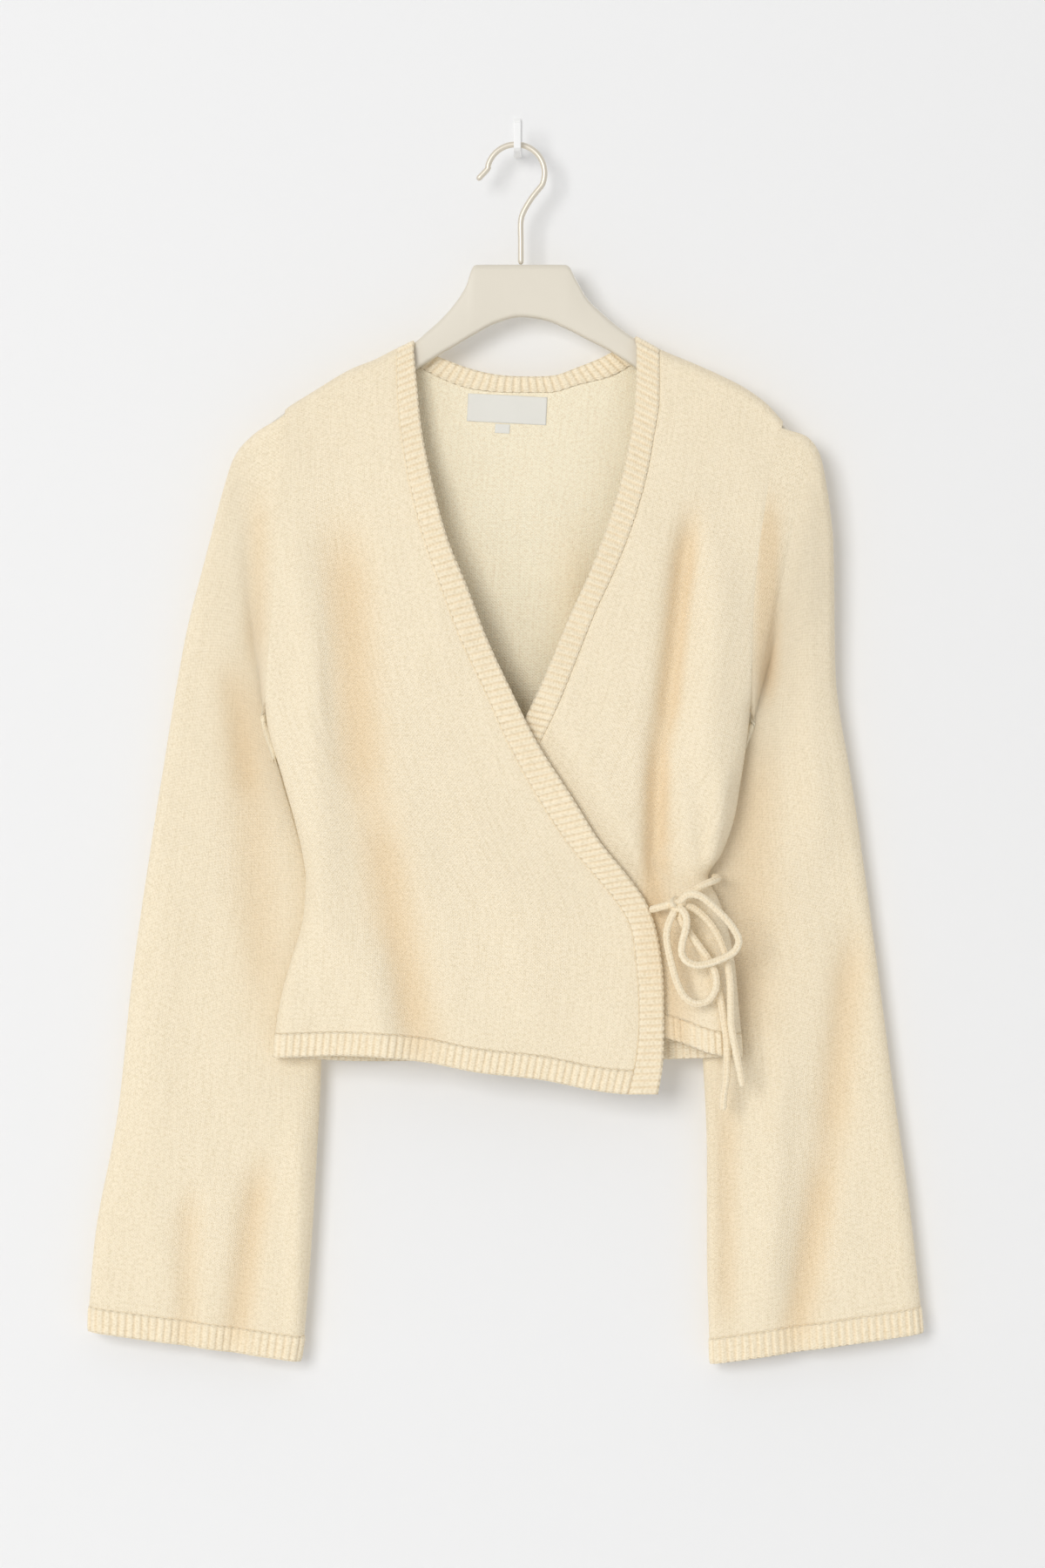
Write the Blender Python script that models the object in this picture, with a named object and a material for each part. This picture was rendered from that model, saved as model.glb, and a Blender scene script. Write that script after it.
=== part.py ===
# A knitted wrap cardigan on a hanger that hangs from a small wall hook.
# Metres. X runs to the viewer's right, -Y towards the viewer and +Z up.
# The origin is the middle of the wall hook's back face, on the wall plane y = 0.

import bmesh
import bpy
import numpy as np

# Cloth and seams
CLOTH = 0.0018            # thickness of the knit wall
SEAM_GAP = 0.0003         # gap between pieces at a seam
HALF_GAP = SEAM_GAP / 2
SEAM_ROOM = 0.0007        # gap at a curved seam, where the panel's edge is a coarser line than the band's
HEM_HEIGHT = 0.016
RIB_RISE = 0.0008         # how far a rib stands out of its wall
CREST_RADIUS = 0.0075     # how sharply the cloth turns over the hanger
EDGE_RADIUS = 0.010       # how sharply the body turns at its side seams
SLEEVE_RADIUS = 0.011     # how sharply a sleeve turns at its two edges
HANGER_CLEARANCE = 0.0023 # from the hanger table's top line to the cloth's outer face
HANGER_Y = -0.025         # middle plane of the hanger
HANGER_HALF = 0.0050
HANGER_DROP = 0.0014      # how far the hanger's top lies below its table's line under the cloth
TIP_DROP = 0.0050         # how much lower its top lies at the tips, inside the sleeves
HANGER_MIDDLE = 0.005     # middle of the stretch that the cloth leaves bare
HANGER_CROWN = 0.0004     # how far the hanger's broad faces swell in their middle
HANGER_SKEW = 0.03        # how far a hanger section leans along X for its depth
NECK_SAG = 0.0009         # room for the neck seam's curve between the back's columns
NECK_REACH = 0.0015       # how far past the neck seam's ends the back still follows it
SHOULDER_X = (-0.1571, 0.1800)
UNDERARM_Z = -0.389
SLEEVE_START = {-1: 0.0009, 1: 0.0006}  # each sleeve's start beyond its armhole edge, left and right
TUCK = 0.0062             # how far the under front lies behind the outer front
TIE_RADIUS = 0.0025
WIRE_RADIUS = 0.002

# Hanger, one row per section from its left tip to its right tip
HANGER_COLUMNS = ("x", "top", "bottom")
HANGER = (
    (-0.1860, -0.2150, -0.2185),
    (-0.1840, -0.2118, -0.2222),
    (-0.1765, -0.2050, -0.2215),
    (-0.1670, -0.1968, -0.2150),
    (-0.1571, -0.1895, -0.2087),
    (-0.1365, -0.1765, -0.1970),
    (-0.1129, -0.1625, -0.1850),
    (-0.0953, -0.1553, -0.1755),
    (-0.0824, -0.1486, -0.1682),
    (-0.0706, -0.1429, -0.1615),
    (-0.0610, -0.1348, -0.1555),
    (-0.0515, -0.1262, -0.1495),
    (-0.0429, -0.1165, -0.1446),
    (-0.0353, -0.1050, -0.1400),
    (-0.0282, -0.0896, -0.1360),
    (-0.0150, -0.0894, -0.1290),
    (0.0024, -0.0894, -0.1247),
    (0.0200, -0.0894, -0.1272),
    (0.0329, -0.0896, -0.1325),
    (0.0400, -0.0998, -0.1360),
    (0.0476, -0.1126, -0.1400),
    (0.0606, -0.1252, -0.1465),
    (0.0710, -0.1335, -0.1530),
    (0.0806, -0.1400, -0.1592),
    (0.0959, -0.1485, -0.1682),
    (0.1206, -0.1590, -0.1800),
    (0.1380, -0.1668, -0.1885),
    (0.1559, -0.1762, -0.1970),
    (0.1700, -0.1868, -0.2060),
    (0.1800, -0.1975, -0.2130),
    (0.1900, -0.2050, -0.2190),
    (0.1950, -0.2100, -0.2205),
    (0.1970, -0.2135, -0.2175),
)

# Depths of the body from its seam plane, one row per height
DEPTH_COLUMNS = ("z", "seam_y", "front_mid", "front_side", "back_mid", "back_side")
DEPTHS = (
    (-0.130, -0.0250, 0.0094, 0.0094, 0.0094, 0.0094),
    (-0.190, -0.0250, 0.0118, 0.0098, 0.0100, 0.0094),
    (-0.250, -0.0262, 0.0155, 0.0120, 0.0115, 0.0100),
    (-0.320, -0.0280, 0.0180, 0.0128, 0.0135, 0.0088),
    (-0.389, -0.0300, 0.0185, 0.0125, 0.0155, 0.0058),
    (-0.430, -0.0300, 0.0180, 0.0125, 0.0160, 0.0046),
    (-0.500, -0.0300, 0.0170, 0.0115, 0.0160, 0.0046),
    (-0.560, -0.0300, 0.0160, 0.0112, 0.0160, 0.0046),
    (-0.660, -0.0300, 0.0165, 0.0115, 0.0160, 0.0046),
)

# Body's left and right edges: armhole seam above the underarm, side seam below it
EDGE_COLUMNS = ("z", "left", "right")
BODY_EDGES = (
    (-0.1871, -0.1571, 0.1822),
    (-0.2200, -0.1586, 0.1735),
    (-0.2600, -0.1608, 0.1667),
    (-0.3200, -0.1650, 0.1597),
    (-0.3600, -0.1686, 0.1584),
    (-0.3890, -0.1706, 0.1577),
    (-0.4394, -0.1585, 0.1514),
    (-0.4700, -0.1500, 0.1455),
    (-0.4900, -0.1455, 0.1376),
    (-0.5040, -0.1436, 0.1292),
    (-0.5180, -0.1440, 0.1360),
    (-0.5353, -0.1462, 0.1418),
    (-0.5600, -0.1535, 0.1472),
    (-0.5882, -0.1610, 0.1500),
    (-0.6259, -0.1655, 0.1529),
    (-0.6600, -0.1660, 0.1535),
)

# Front bands: neck edge and inner seam, one row per height
BAND_COLUMNS = ("z", "edge", "seam")
OUTER_BAND = (
    (-0.1400, -0.0706, -0.0814),
    (-0.1700, -0.0680, -0.0812),
    (-0.2047, -0.0641, -0.0782),
    (-0.2412, -0.0565, -0.0720),
    (-0.2771, -0.0465, -0.0626),
    (-0.3088, -0.0335, -0.0512),
    (-0.3441, -0.0200, -0.0378),
    (-0.3794, -0.0035, -0.0212),
    (-0.4135, 0.0135, -0.0060),
    (-0.4494, 0.0365, 0.0135),
    (-0.4812, 0.0565, 0.0343),
    (-0.5035, 0.0747, 0.0530),
    (-0.5218, 0.0872, 0.0680),
    (-0.5353, 0.0924, 0.0757),
    (-0.5600, 0.0971, 0.0800),
    (-0.5935, 0.0988, 0.0822),
    (-0.6271, 0.0982, 0.0800),
    (-0.6500, 0.0947, 0.0747),
)
UNDER_BAND = (
    (-0.1371, 0.0806, 0.0959),
    (-0.1800, 0.0798, 0.0959),
    (-0.2047, 0.0765, 0.0925),
    (-0.2341, 0.0706, 0.0870),
    (-0.2671, 0.0606, 0.0774),
    (-0.2971, 0.0494, 0.0656),
    (-0.3265, 0.0359, 0.0520),
    (-0.3582, 0.0229, 0.0394),
    (-0.3900, 0.0085, 0.0265),
    (-0.4300, -0.0120, 0.0065),
    (-0.4750, -0.0370, -0.0160),
    (-0.5120, -0.0600, -0.0380),
    (-0.5400, -0.0770, -0.0570),
    (-0.5650, -0.0870, -0.0695),
    (-0.6060, -0.0900, -0.0735),
)

# Lower edges of the three hems
HEM_COLUMNS = ("x", "z")
OUTER_HEM = (
    (-0.1655, -0.6259), (-0.1182, -0.6243), (-0.0835, -0.6259), (-0.0600, -0.6288),
    (-0.0306, -0.6347), (0.0182, -0.6406), (0.0571, -0.6482), (0.0765, -0.6500), (0.0947, -0.6500),
)
UNDER_HEM = (
    (-0.0900, -0.6060), (-0.0300, -0.6045), (0.0300, -0.6055), (0.0800, -0.6095),
    (0.0988, -0.6124), (0.1129, -0.6165), (0.1288, -0.6224), (0.1400, -0.6247), (0.1529, -0.6259),
)
BACK_HEM = (
    (-0.1655, -0.6259), (-0.1000, -0.6292), (0.0000, -0.6300), (0.0900, -0.6280), (0.1529, -0.6259),
)

# Back neck: lower seam and upper edge of its band
NECK_SEAM = (
    (-0.0824, -0.1465), (-0.0720, -0.1550), (-0.0600, -0.1618), (-0.0376, -0.1712), (-0.0182, -0.1747),
    (0.0000, -0.1753), (0.0212, -0.1753), (0.0418, -0.1700), (0.0671, -0.1629), (0.0820, -0.1540),
    (0.0959, -0.1465),
)
NECK_EDGE = (
    (-0.0706, -0.1406), (-0.0600, -0.1480), (-0.0488, -0.1529), (-0.0282, -0.1600), (-0.0100, -0.1635),
    (0.0082, -0.1641), (0.0241, -0.1635), (0.0418, -0.1576), (0.0588, -0.1506), (0.0700, -0.1442),
    (0.0806, -0.1377),
)

# Soft folds, a row each: the x and z of the crease's top and foot, its half width and its rise
OUTER_FOLDS = (
    (-0.120, -0.240, -0.100, -0.480, 0.017, -0.0045),
    (-0.101, -0.430, -0.061, -0.650, 0.016, -0.0045),
    (-0.152, -0.240, -0.131, -0.470, 0.011, 0.0025),
    (-0.131, -0.430, -0.117, -0.590, 0.012, 0.0030),
    (-0.103, -0.530, -0.085, -0.650, 0.012, 0.0030),
    (-0.010, -0.480, 0.020, -0.620, 0.025, 0.0020),
    (-0.060, -0.200, -0.045, -0.380, 0.020, 0.0020),
)
UNDER_FOLDS = (
    (0.119, -0.240, 0.097, -0.430, 0.009, -0.0065),
    (0.096, -0.390, 0.091, -0.560, 0.008, -0.0075),
    (0.137, -0.260, 0.127, -0.500, 0.016, 0.0060),
    (0.110, -0.430, 0.121, -0.515, 0.006, 0.0030),
    (0.142, -0.420, 0.128, -0.515, 0.005, 0.0045),
    (0.108, -0.520, 0.108, -0.640, 0.009, -0.0040),
    (0.126, -0.510, 0.134, -0.640, 0.009, 0.0035),
)
BACK_FOLDS = (
    (-0.060, -0.230, -0.045, -0.520, 0.016, -0.0030),
    (-0.015, -0.300, -0.005, -0.660, 0.018, 0.0030),
    (0.040, -0.240, 0.036, -0.500, 0.015, -0.0025),
    (0.080, -0.330, 0.072, -0.660, 0.013, 0.0035),
    (-0.085, -0.400, -0.074, -0.660, 0.012, 0.0030),
)

# Sleeves, one row per ring from the armhole to the cuff seam
RING_COLUMNS = ("outer_x", "outer_z", "outer_y", "inner_x", "inner_z", "inner_y", "half_depth")
LEFT_SLEEVE = (
    (-0.1575, -0.1871, -0.0250, -0.1710, -0.3893, -0.0300, 0.0100),
    (-0.1765, -0.2024, -0.0250, -0.1722, -0.3960, -0.0235, 0.0100),
    (-0.1900, -0.2165, -0.0248, -0.1710, -0.4060, -0.0185, 0.0098),
    (-0.1982, -0.2376, -0.0240, -0.1670, -0.4190, -0.0165, 0.0095),
    (-0.2118, -0.2882, -0.0215, -0.1585, -0.4420, -0.0150, 0.0088),
    (-0.2241, -0.3353, -0.0190, -0.1490, -0.4700, -0.0145, 0.0086),
    (-0.2329, -0.3824, -0.0170, -0.1400, -0.5000, -0.0145, 0.0085),
    (-0.2406, -0.4294, -0.0155, -0.1350, -0.5380, -0.0145, 0.0085),
    (-0.2482, -0.4765, -0.0150, -0.1328, -0.5800, -0.0145, 0.0085),
    (-0.2618, -0.5706, -0.0145, -0.1337, -0.6400, -0.0145, 0.0085),
    (-0.2718, -0.6647, -0.0145, -0.1368, -0.7000, -0.0145, 0.0088),
    (-0.2860, -0.7400, -0.0145, -0.1408, -0.7650, -0.0145, 0.0092),
    (-0.2914, -0.7965, -0.0145, -0.1450, -0.8170, -0.0145, 0.0095),
)
RIGHT_SLEEVE = (
    (0.1819, -0.1990, -0.0250, 0.1581, -0.3893, -0.0300, 0.0100),
    (0.1960, -0.2056, -0.0250, 0.1592, -0.3960, -0.0235, 0.0100),
    (0.2047, -0.2171, -0.0248, 0.1580, -0.4060, -0.0185, 0.0098),
    (0.2095, -0.2380, -0.0240, 0.1530, -0.4190, -0.0165, 0.0095),
    (0.2141, -0.2718, -0.0215, 0.1440, -0.4420, -0.0150, 0.0088),
    (0.2153, -0.3106, -0.0190, 0.1330, -0.4700, -0.0145, 0.0086),
    (0.2165, -0.3694, -0.0170, 0.1230, -0.5000, -0.0145, 0.0085),
    (0.2276, -0.4412, -0.0155, 0.1200, -0.5380, -0.0145, 0.0085),
    (0.2340, -0.4850, -0.0150, 0.1215, -0.5800, -0.0145, 0.0085),
    (0.2441, -0.5588, -0.0145, 0.1262, -0.6300, -0.0145, 0.0085),
    (0.2560, -0.6500, -0.0145, 0.1290, -0.6950, -0.0145, 0.0088),
    (0.2665, -0.7250, -0.0145, 0.1290, -0.7600, -0.0145, 0.0092),
    (0.2745, -0.7970, -0.0145, 0.1306, -0.8185, -0.0145, 0.0095),
)

# Lower edges of the cuffs: x and z at the outer edge, then at the inner edge
LEFT_CUFF = (-0.2918, -0.8129, -0.1476, -0.8335)
RIGHT_CUFF = (0.2759, -0.8141, 0.1312, -0.8353)

# Folds of the sleeves, in the same form as the body's
LEFT_SLEEVE_FOLDS = (
    (-0.174, -0.230, -0.176, -0.370, 0.008, -0.0030),
    (-0.196, -0.350, -0.181, -0.460, 0.010, -0.0020),
    (-0.150, -0.640, -0.147, -0.840, 0.008, 0.0025),
    (-0.172, -0.680, -0.194, -0.840, 0.010, -0.0040),
    (-0.222, -0.700, -0.226, -0.840, 0.009, -0.0025),
    (-0.235, -0.480, -0.256, -0.760, 0.016, 0.0020),
)
RIGHT_SLEEVE_FOLDS = (
    (0.171, -0.230, 0.167, -0.400, 0.008, -0.0060),
    (0.198, -0.250, 0.204, -0.520, 0.015, 0.0035),
    (0.230, -0.520, 0.210, -0.710, 0.012, -0.0040),
    (0.214, -0.670, 0.184, -0.840, 0.012, -0.0045),
    (0.181, -0.600, 0.167, -0.820, 0.013, 0.0040),
    (0.142, -0.620, 0.142, -0.830, 0.009, -0.0030),
)

# Label and size tab on the back neck: middle x, top z, width, height
LABEL = (-0.0065, -0.1770, 0.054, 0.019)
LABEL_TILT = 0.052
SIZE_TAB = (-0.0100, -0.1966, 0.010, 0.0062)
LABEL_THICKNESS = 0.0006

# Wire hook of the hanger
HOOK_CENTRE = (-0.0010, -0.0273)
HOOK_RADIUS = 0.0195
HOOK_STEM = ((0.0024, -0.0890), (0.0024, -0.0740), (0.0024, -0.0600), (0.0045, -0.0530),
             (0.0095, -0.0445), (0.0150, -0.0375))
HOOK_TIP = (-0.0271, -0.0318)

# Wall hook: side profile as (y, z), extruded along X
WALL_HOOK_WIDTH = 0.0048
WALL_HOOK_PROFILE = (
    (0.0000, 0.0120), (0.0000, -0.0115), (-0.0020, -0.0135), (-0.0320, -0.0135), (-0.0345, -0.0115),
    (-0.0345, 0.0060), (-0.0315, 0.0060), (-0.0315, -0.0105), (-0.0020, -0.0105), (-0.0020, 0.0120),
    (-0.0012, 0.0141),
)

# Tie: a knot, and a row for each strand with the way it leaves or enters the knot, as (x, y, z)
KNOT_CENTRE = (0.1071, -0.0580, -0.5218)
KNOT_RADII = (0.0054, 0.0052, 0.0050)
KNOT_GAP = 0.0009         # from the knot's mean surface to a strand's end, past its wraps
TIES = (
    ("tie_front_lead", None, (
        (0.0893, -0.0466, -0.5256), (0.0915, -0.0480, -0.5252), (0.0948, -0.0520, -0.5242),
        (0.0982, -0.0555, -0.5232)), (-1.00, 0.10, -0.10)),
    ("tie_side_lead", None, (
        (0.1314, -0.0313, -0.5042), (0.1335, -0.0318, -0.5042), (0.1350, -0.0345, -0.5045),
        (0.1351, -0.0400, -0.5050), (0.1330, -0.0460, -0.5060), (0.1290, -0.0510, -0.5073),
        (0.1230, -0.0538, -0.5098), (0.1165, -0.0545, -0.5137)), (0.62, 0.50, 0.60)),
    ("tie_right_loop", (0.55, -0.62, 0.56), (
        (0.1135, -0.0640, -0.5154), (0.1185, -0.0650, -0.5150), (0.1245, -0.0650, -0.5175),
        (0.1341, -0.0645, -0.5260), (0.1418, -0.0640, -0.5341), (0.1468, -0.0640, -0.5418),
        (0.1480, -0.0640, -0.5471), (0.1453, -0.0640, -0.5529), (0.1388, -0.0640, -0.5570),
        (0.1300, -0.0640, -0.5605), (0.1206, -0.0640, -0.5622), (0.1135, -0.0640, -0.5598),
        (0.1100, -0.0640, -0.5541), (0.1104, -0.0645, -0.5471), (0.1122, -0.0652, -0.5400),
        (0.1132, -0.0658, -0.5335), (0.1122, -0.0652, -0.5282)), (0.42, -0.75, -0.50)),
    ("tie_left_loop", (-0.35, -0.45, -0.82), (
        (0.1028, -0.0610, -0.5312), (0.1004, -0.0600, -0.5390), (0.1006, -0.0585, -0.5482),
        (0.1038, -0.0580, -0.5629), (0.1071, -0.0580, -0.5741), (0.1116, -0.0580, -0.5829),
        (0.1176, -0.0580, -0.5876), (0.1229, -0.0580, -0.5880), (0.1288, -0.0580, -0.5853),
        (0.1330, -0.0580, -0.5775), (0.1325, -0.0580, -0.5680), (0.1280, -0.0578, -0.5585),
        (0.1205, -0.0576, -0.5480), (0.1135, -0.0574, -0.5385), (0.1098, -0.0574, -0.5320)),
        (0.35, 0.10, -0.93)),
    ("tie_side_tail", (0.93, 0.30, -0.20), (
        (0.1185, -0.0545, -0.5248), (0.1270, -0.0535, -0.5320), (0.1345, -0.0535, -0.5430),
        (0.1398, -0.0537, -0.5570), (0.1426, -0.0540, -0.5720), (0.1432, -0.0540, -0.5880),
        (0.1436, -0.0540, -0.6030), (0.1462, -0.0536, -0.6182), (0.1488, -0.0525, -0.6306),
        (0.1515, -0.0510, -0.6441)), None),
    ("tie_front_tail", (-0.10, 0.85, -0.50), (
        (0.1075, -0.0503, -0.5292), (0.1120, -0.0500, -0.5370), (0.1200, -0.0500, -0.5480),
        (0.1275, -0.0502, -0.5600), (0.1335, -0.0502, -0.5740), (0.1366, -0.0500, -0.5870),
        (0.1388, -0.0490, -0.6000), (0.1408, -0.0482, -0.6130), (0.1410, -0.0474, -0.6260),
        (0.1405, -0.0466, -0.6400), (0.1390, -0.0460, -0.6500), (0.1384, -0.0455, -0.6606)), None),
)

# Ribs along each strip
RIBS = {"outer_front": 49, "under_front": 49, "back": 64, "outer_band": 118, "under_band": 108,
        "back_neck": 33, "cuff": 60}

COLOURS = {
    "knit": ((0.83, 0.70, 0.50, 1.0), 0.95),
    "rib": ((0.82, 0.69, 0.49, 1.0), 0.95),
    "hanger": ((0.76, 0.71, 0.61, 1.0), 0.45),
    "wire": ((0.72, 0.66, 0.54, 1.0), 0.40),
    "label": ((0.88, 0.86, 0.80, 1.0), 0.80),
    "hook": ((0.90, 0.90, 0.88, 1.0), 0.35),
}


def column(table, columns, name):
    return np.array([row[columns.index(name)] for row in table], float)


def smooth(keys, values, at):
    """Smooth curve through (keys, values) that doesn't overshoot; the keys may rise or fall."""
    if keys[0] > keys[-1]:
        keys, values = keys[::-1], values[::-1]
    at = np.clip(at, keys[0], keys[-1])
    step = np.diff(keys)
    slope = np.diff(values) / step
    tangent = np.zeros(len(keys))
    tangent[0], tangent[-1] = slope[0], slope[-1]
    same_way = slope[:-1] * slope[1:] > 0
    mean = (slope[:-1] * step[1:] + slope[1:] * step[:-1]) / (step[:-1] + step[1:])
    limit = 3 * np.minimum(abs(slope[:-1]), abs(slope[1:]))
    tangent[1:-1] = np.where(same_way, np.sign(mean) * np.minimum(abs(mean), limit), 0)
    i = np.clip(np.searchsorted(keys, at, side="right") - 1, 0, len(keys) - 2)
    h = step[i]
    t = (at - keys[i]) / h
    return ((2 * t**3 - 3 * t**2 + 1) * values[i] + (t**3 - 2 * t**2 + t) * h * tangent[i]
            + (3 * t**2 - 2 * t**3) * values[i + 1] + (t**3 - t**2) * h * tangent[i + 1])


def look_up(table, columns, key, name, at):
    return smooth(column(table, columns, key), column(table, columns, name), np.asarray(at, float))


def ease(value, low, high):
    t = np.clip((value - low) / (high - low), 0, 1)
    return t * t * (3 - 2 * t)


def turn(distance, radius):
    """Quarter round profile: 0 at a folded edge, 1 from a radius inside it."""
    t = np.clip(distance / radius, 0, 1)
    return np.sqrt(np.clip(1 - (1 - t) ** 2, 0, 1))


def crest(x):
    """Height of the cloth's outer face over the hanger's top edge."""
    return look_up(HANGER, HANGER_COLUMNS, "x", "top", x) + HANGER_CLEARANCE


def left_edge(z):
    return look_up(BODY_EDGES, EDGE_COLUMNS, "z", "left", z)


def right_edge(z):
    return look_up(BODY_EDGES, EDGE_COLUMNS, "z", "right", z)


def depth_value(name, z):
    return look_up(DEPTHS, DEPTH_COLUMNS, "z", name, z)


def fold_rise(folds, x, z):
    """Sum of the soft troughs and ridges of a fold table at (x, z)."""
    total = np.zeros(np.broadcast(x, z).shape)
    for x_top, z_top, x_low, z_low, width, rise in folds:
        t = (z_top - z) / (z_top - z_low)
        fade = ease(t, 0, 0.3) * (1 - ease(t, 0.75, 1.0))
        x_line = x_top + (x_low - x_top) * t
        total = total + rise * fade * np.exp(-((x - x_line) / width) ** 2)
    return total


def body_depth(x, z, layer):
    """Distance of a body layer's outer face from the seam plane."""
    side_name, mid_name = ("back_side", "back_mid") if layer == "back" else ("front_side", "front_mid")
    distance = np.minimum(x - left_edge(z), right_edge(z) - x)
    distance = np.maximum(distance, 0)
    side = depth_value(side_name, z)
    mid = depth_value(mid_name, z)
    ramp = ease(distance, 0.045, 0.095) if layer == "back" else ease(distance, 0.015, 0.080)
    open_arm = turn(z - UNDERARM_Z, 0.045) * (z > UNDERARM_Z)
    closed = turn(distance, EDGE_RADIUS)
    near_edge = side * (open_arm + (1 - open_arm) * closed)
    depth = near_edge + (mid - side) * ramp
    if layer == "outer":
        depth = depth + fold_rise(OUTER_FOLDS, x, z) * closed
    elif layer == "under":
        past_edge = x - look_up(OUTER_BAND, BAND_COLUMNS, "z", "edge", z)
        under_outer = 1 - ease(past_edge, 0.003, 0.026)
        own_folds = fold_rise(UNDER_FOLDS, x, z) * (1 - under_outer)
        shared_folds = fold_rise(OUTER_FOLDS, x, z) * under_outer
        depth = depth + (own_folds + shared_folds - TUCK * under_outer) * closed
    else:
        depth = depth + fold_rise(BACK_FOLDS, x, z) * ramp * ease(-z, 0.20, 0.26)
    return depth * turn(crest(x) - z, CREST_RADIUS)


def body_y(x, z, layer):
    side = 1 if layer == "back" else -1
    return depth_value("seam_y", z) + side * (body_depth(x, z, layer) + HALF_GAP)


def unit(vectors):
    return vectors / np.maximum(np.linalg.norm(vectors, axis=-1, keepdims=True), 1e-12)


def body_surface(x, z, layer):
    """Points and outward normals of a body layer at (x, z)."""
    step = 0.0004
    y = body_y(x, z, layer)
    slope_x = (body_y(x + step, z, layer) - body_y(x - step, z, layer)) / (2 * step)
    slope_z = (body_y(x, z + step, layer) - body_y(x, z - step, layer)) / (2 * step)
    normal = unit(np.stack([slope_x, -np.ones_like(y), slope_z], axis=-1))
    if layer == "back":
        normal = -normal
    below = ease(UNDERARM_Z + 0.004 - z, 0.0, 0.004)
    for edge, way in ((x - left_edge(z), -1), (right_edge(z) - x, 1)):
        at_edge = edge < 0.0006
        seam_normal = np.stack([way * below, normal[..., 1] * (1 - below), normal[..., 2] * (1 - below)], -1)
        normal = np.where(at_edge[..., None], unit(seam_normal + [0, 0, 1e-9]), normal)
    at_crest = (crest(x) - z) < 0.0005
    up = np.zeros(normal.shape) + [0, 0, 1]
    normal = np.where(at_crest[..., None], up, normal)
    return np.stack([x, y, z], axis=-1), normal


def grid_faces(rows, columns, wrap):
    faces = []
    for i in range(rows - 1):
        for j in range(columns if wrap else columns - 1):
            k = (j + 1) % columns
            faces.append((i * columns + j, (i + 1) * columns + j, (i + 1) * columns + k, i * columns + k))
    return faces


def wall(name, points, normals, thickness=CLOTH, wrap=False, finish="knit"):
    """Closed wall from a grid of outer points: rows by columns, inner points moved in by the thickness.

    wrap closes each row into a ring.
    """
    rows, columns = points.shape[:2]
    outer = points.reshape(-1, 3)
    inner = (points - normals * thickness).reshape(-1, 3)
    count = rows * columns
    skin = grid_faces(rows, columns, wrap)
    faces = list(skin)
    faces += [tuple(count + v for v in reversed(face)) for face in skin]
    edge_loops = []
    last = (rows - 1) * columns
    if wrap:
        edge_loops.append(list(range(columns)))
        edge_loops.append([last + j for j in reversed(range(columns))])
    else:
        around = list(range(columns))
        around += [i * columns + columns - 1 for i in range(1, rows)]
        around += [last + j for j in reversed(range(columns - 1))]
        around += [i * columns for i in reversed(range(1, rows - 1))]
        edge_loops.append(around)
    for loop in edge_loops:
        for a, b in zip(loop, loop[1:] + loop[:1]):
            faces.append((a, b, count + b, count + a))
    return add_mesh(name, np.concatenate([outer, inner]), faces, finish)


def add_mesh(name, points, faces, finish):
    mesh = bpy.data.meshes.new(name)
    mesh.from_pydata([tuple(p) for p in points], [], faces)
    shell = bmesh.new()
    shell.from_mesh(mesh)
    bmesh.ops.recalc_face_normals(shell, faces=shell.faces)
    shell.to_mesh(mesh)
    shell.free()
    mesh.shade_smooth()
    piece = bpy.data.objects.new(name, mesh)
    bpy.context.scene.collection.objects.link(piece)
    mesh.materials.append(material(finish))
    return piece


def material(finish):
    found = bpy.data.materials.get(finish)
    if found:
        return found
    colour, roughness = COLOURS[finish]
    made = bpy.data.materials.new(finish)
    made.use_nodes = True
    shader = made.node_tree.nodes["Principled BSDF"]
    shader.inputs["Base Color"].default_value = colour
    shader.inputs["Roughness"].default_value = roughness
    shader.inputs["Metallic"].default_value = 0.0
    return made


def panel_grid(z_left, z_right, x_left, x_right, top, bottom, shares):
    """Grid of (x, z). Rows run from the left edge to the right edge; the first and last follow two curves."""
    v = (z_left - z_left[0]) / (z_left[-1] - z_left[0])
    x_start = x_left(z_left)[:, None]
    x_end = x_right(z_right)[:, None]
    u = np.asarray(shares)[None, :]
    x = x_start + (x_end - x_start) * u
    z = z_left[:, None] + (z_right - z_left)[:, None] * u
    top_bulge = top(x[0]) - z[0]
    bottom_bulge = bottom(x[-1]) - z[-1]
    z = z + (1 - v[:, None]) ** 2 * top_bulge[None, :] + v[:, None] ** 2 * bottom_bulge[None, :]
    return x, z


def panel_rows(first, last):
    """Row heights: close together where the cloth turns over the hanger, with one row at the underarm."""
    above = first - np.array([0, 0.0010, 0.0032, 0.0070, 0.0160, 0.0400, 0.0700, 0.1050, 0.1400, 0.1730])
    below = UNDERARM_Z + (last - UNDERARM_Z) * np.array(ROW_SHARES)
    return np.concatenate([above[above > UNDERARM_Z + 0.010], below])


def hem_line(table, lift=0.0):
    xs = column(table, HEM_COLUMNS, "x")
    zs = column(table, HEM_COLUMNS, "z")
    return lambda x: smooth(xs, zs, x) + lift


def band_edge(table, name, shift=0.0):
    return lambda z: look_up(table, BAND_COLUMNS, "z", name, z) + shift


# Rows from the underarm to the hem, with one at the waist where the tie draws the side in
ROW_SHARES = (0, 0.10, 0.20, 0.30, 0.39, 0.455, 0.52, 0.585, 0.66, 0.77, 0.88, 1)
SIDE_SHARES = np.array([0, 0.0045, 0.016, 0.040, 0.075])
ABOVE_HEM = HEM_HEIGHT + 2 * SEAM_GAP


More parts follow.
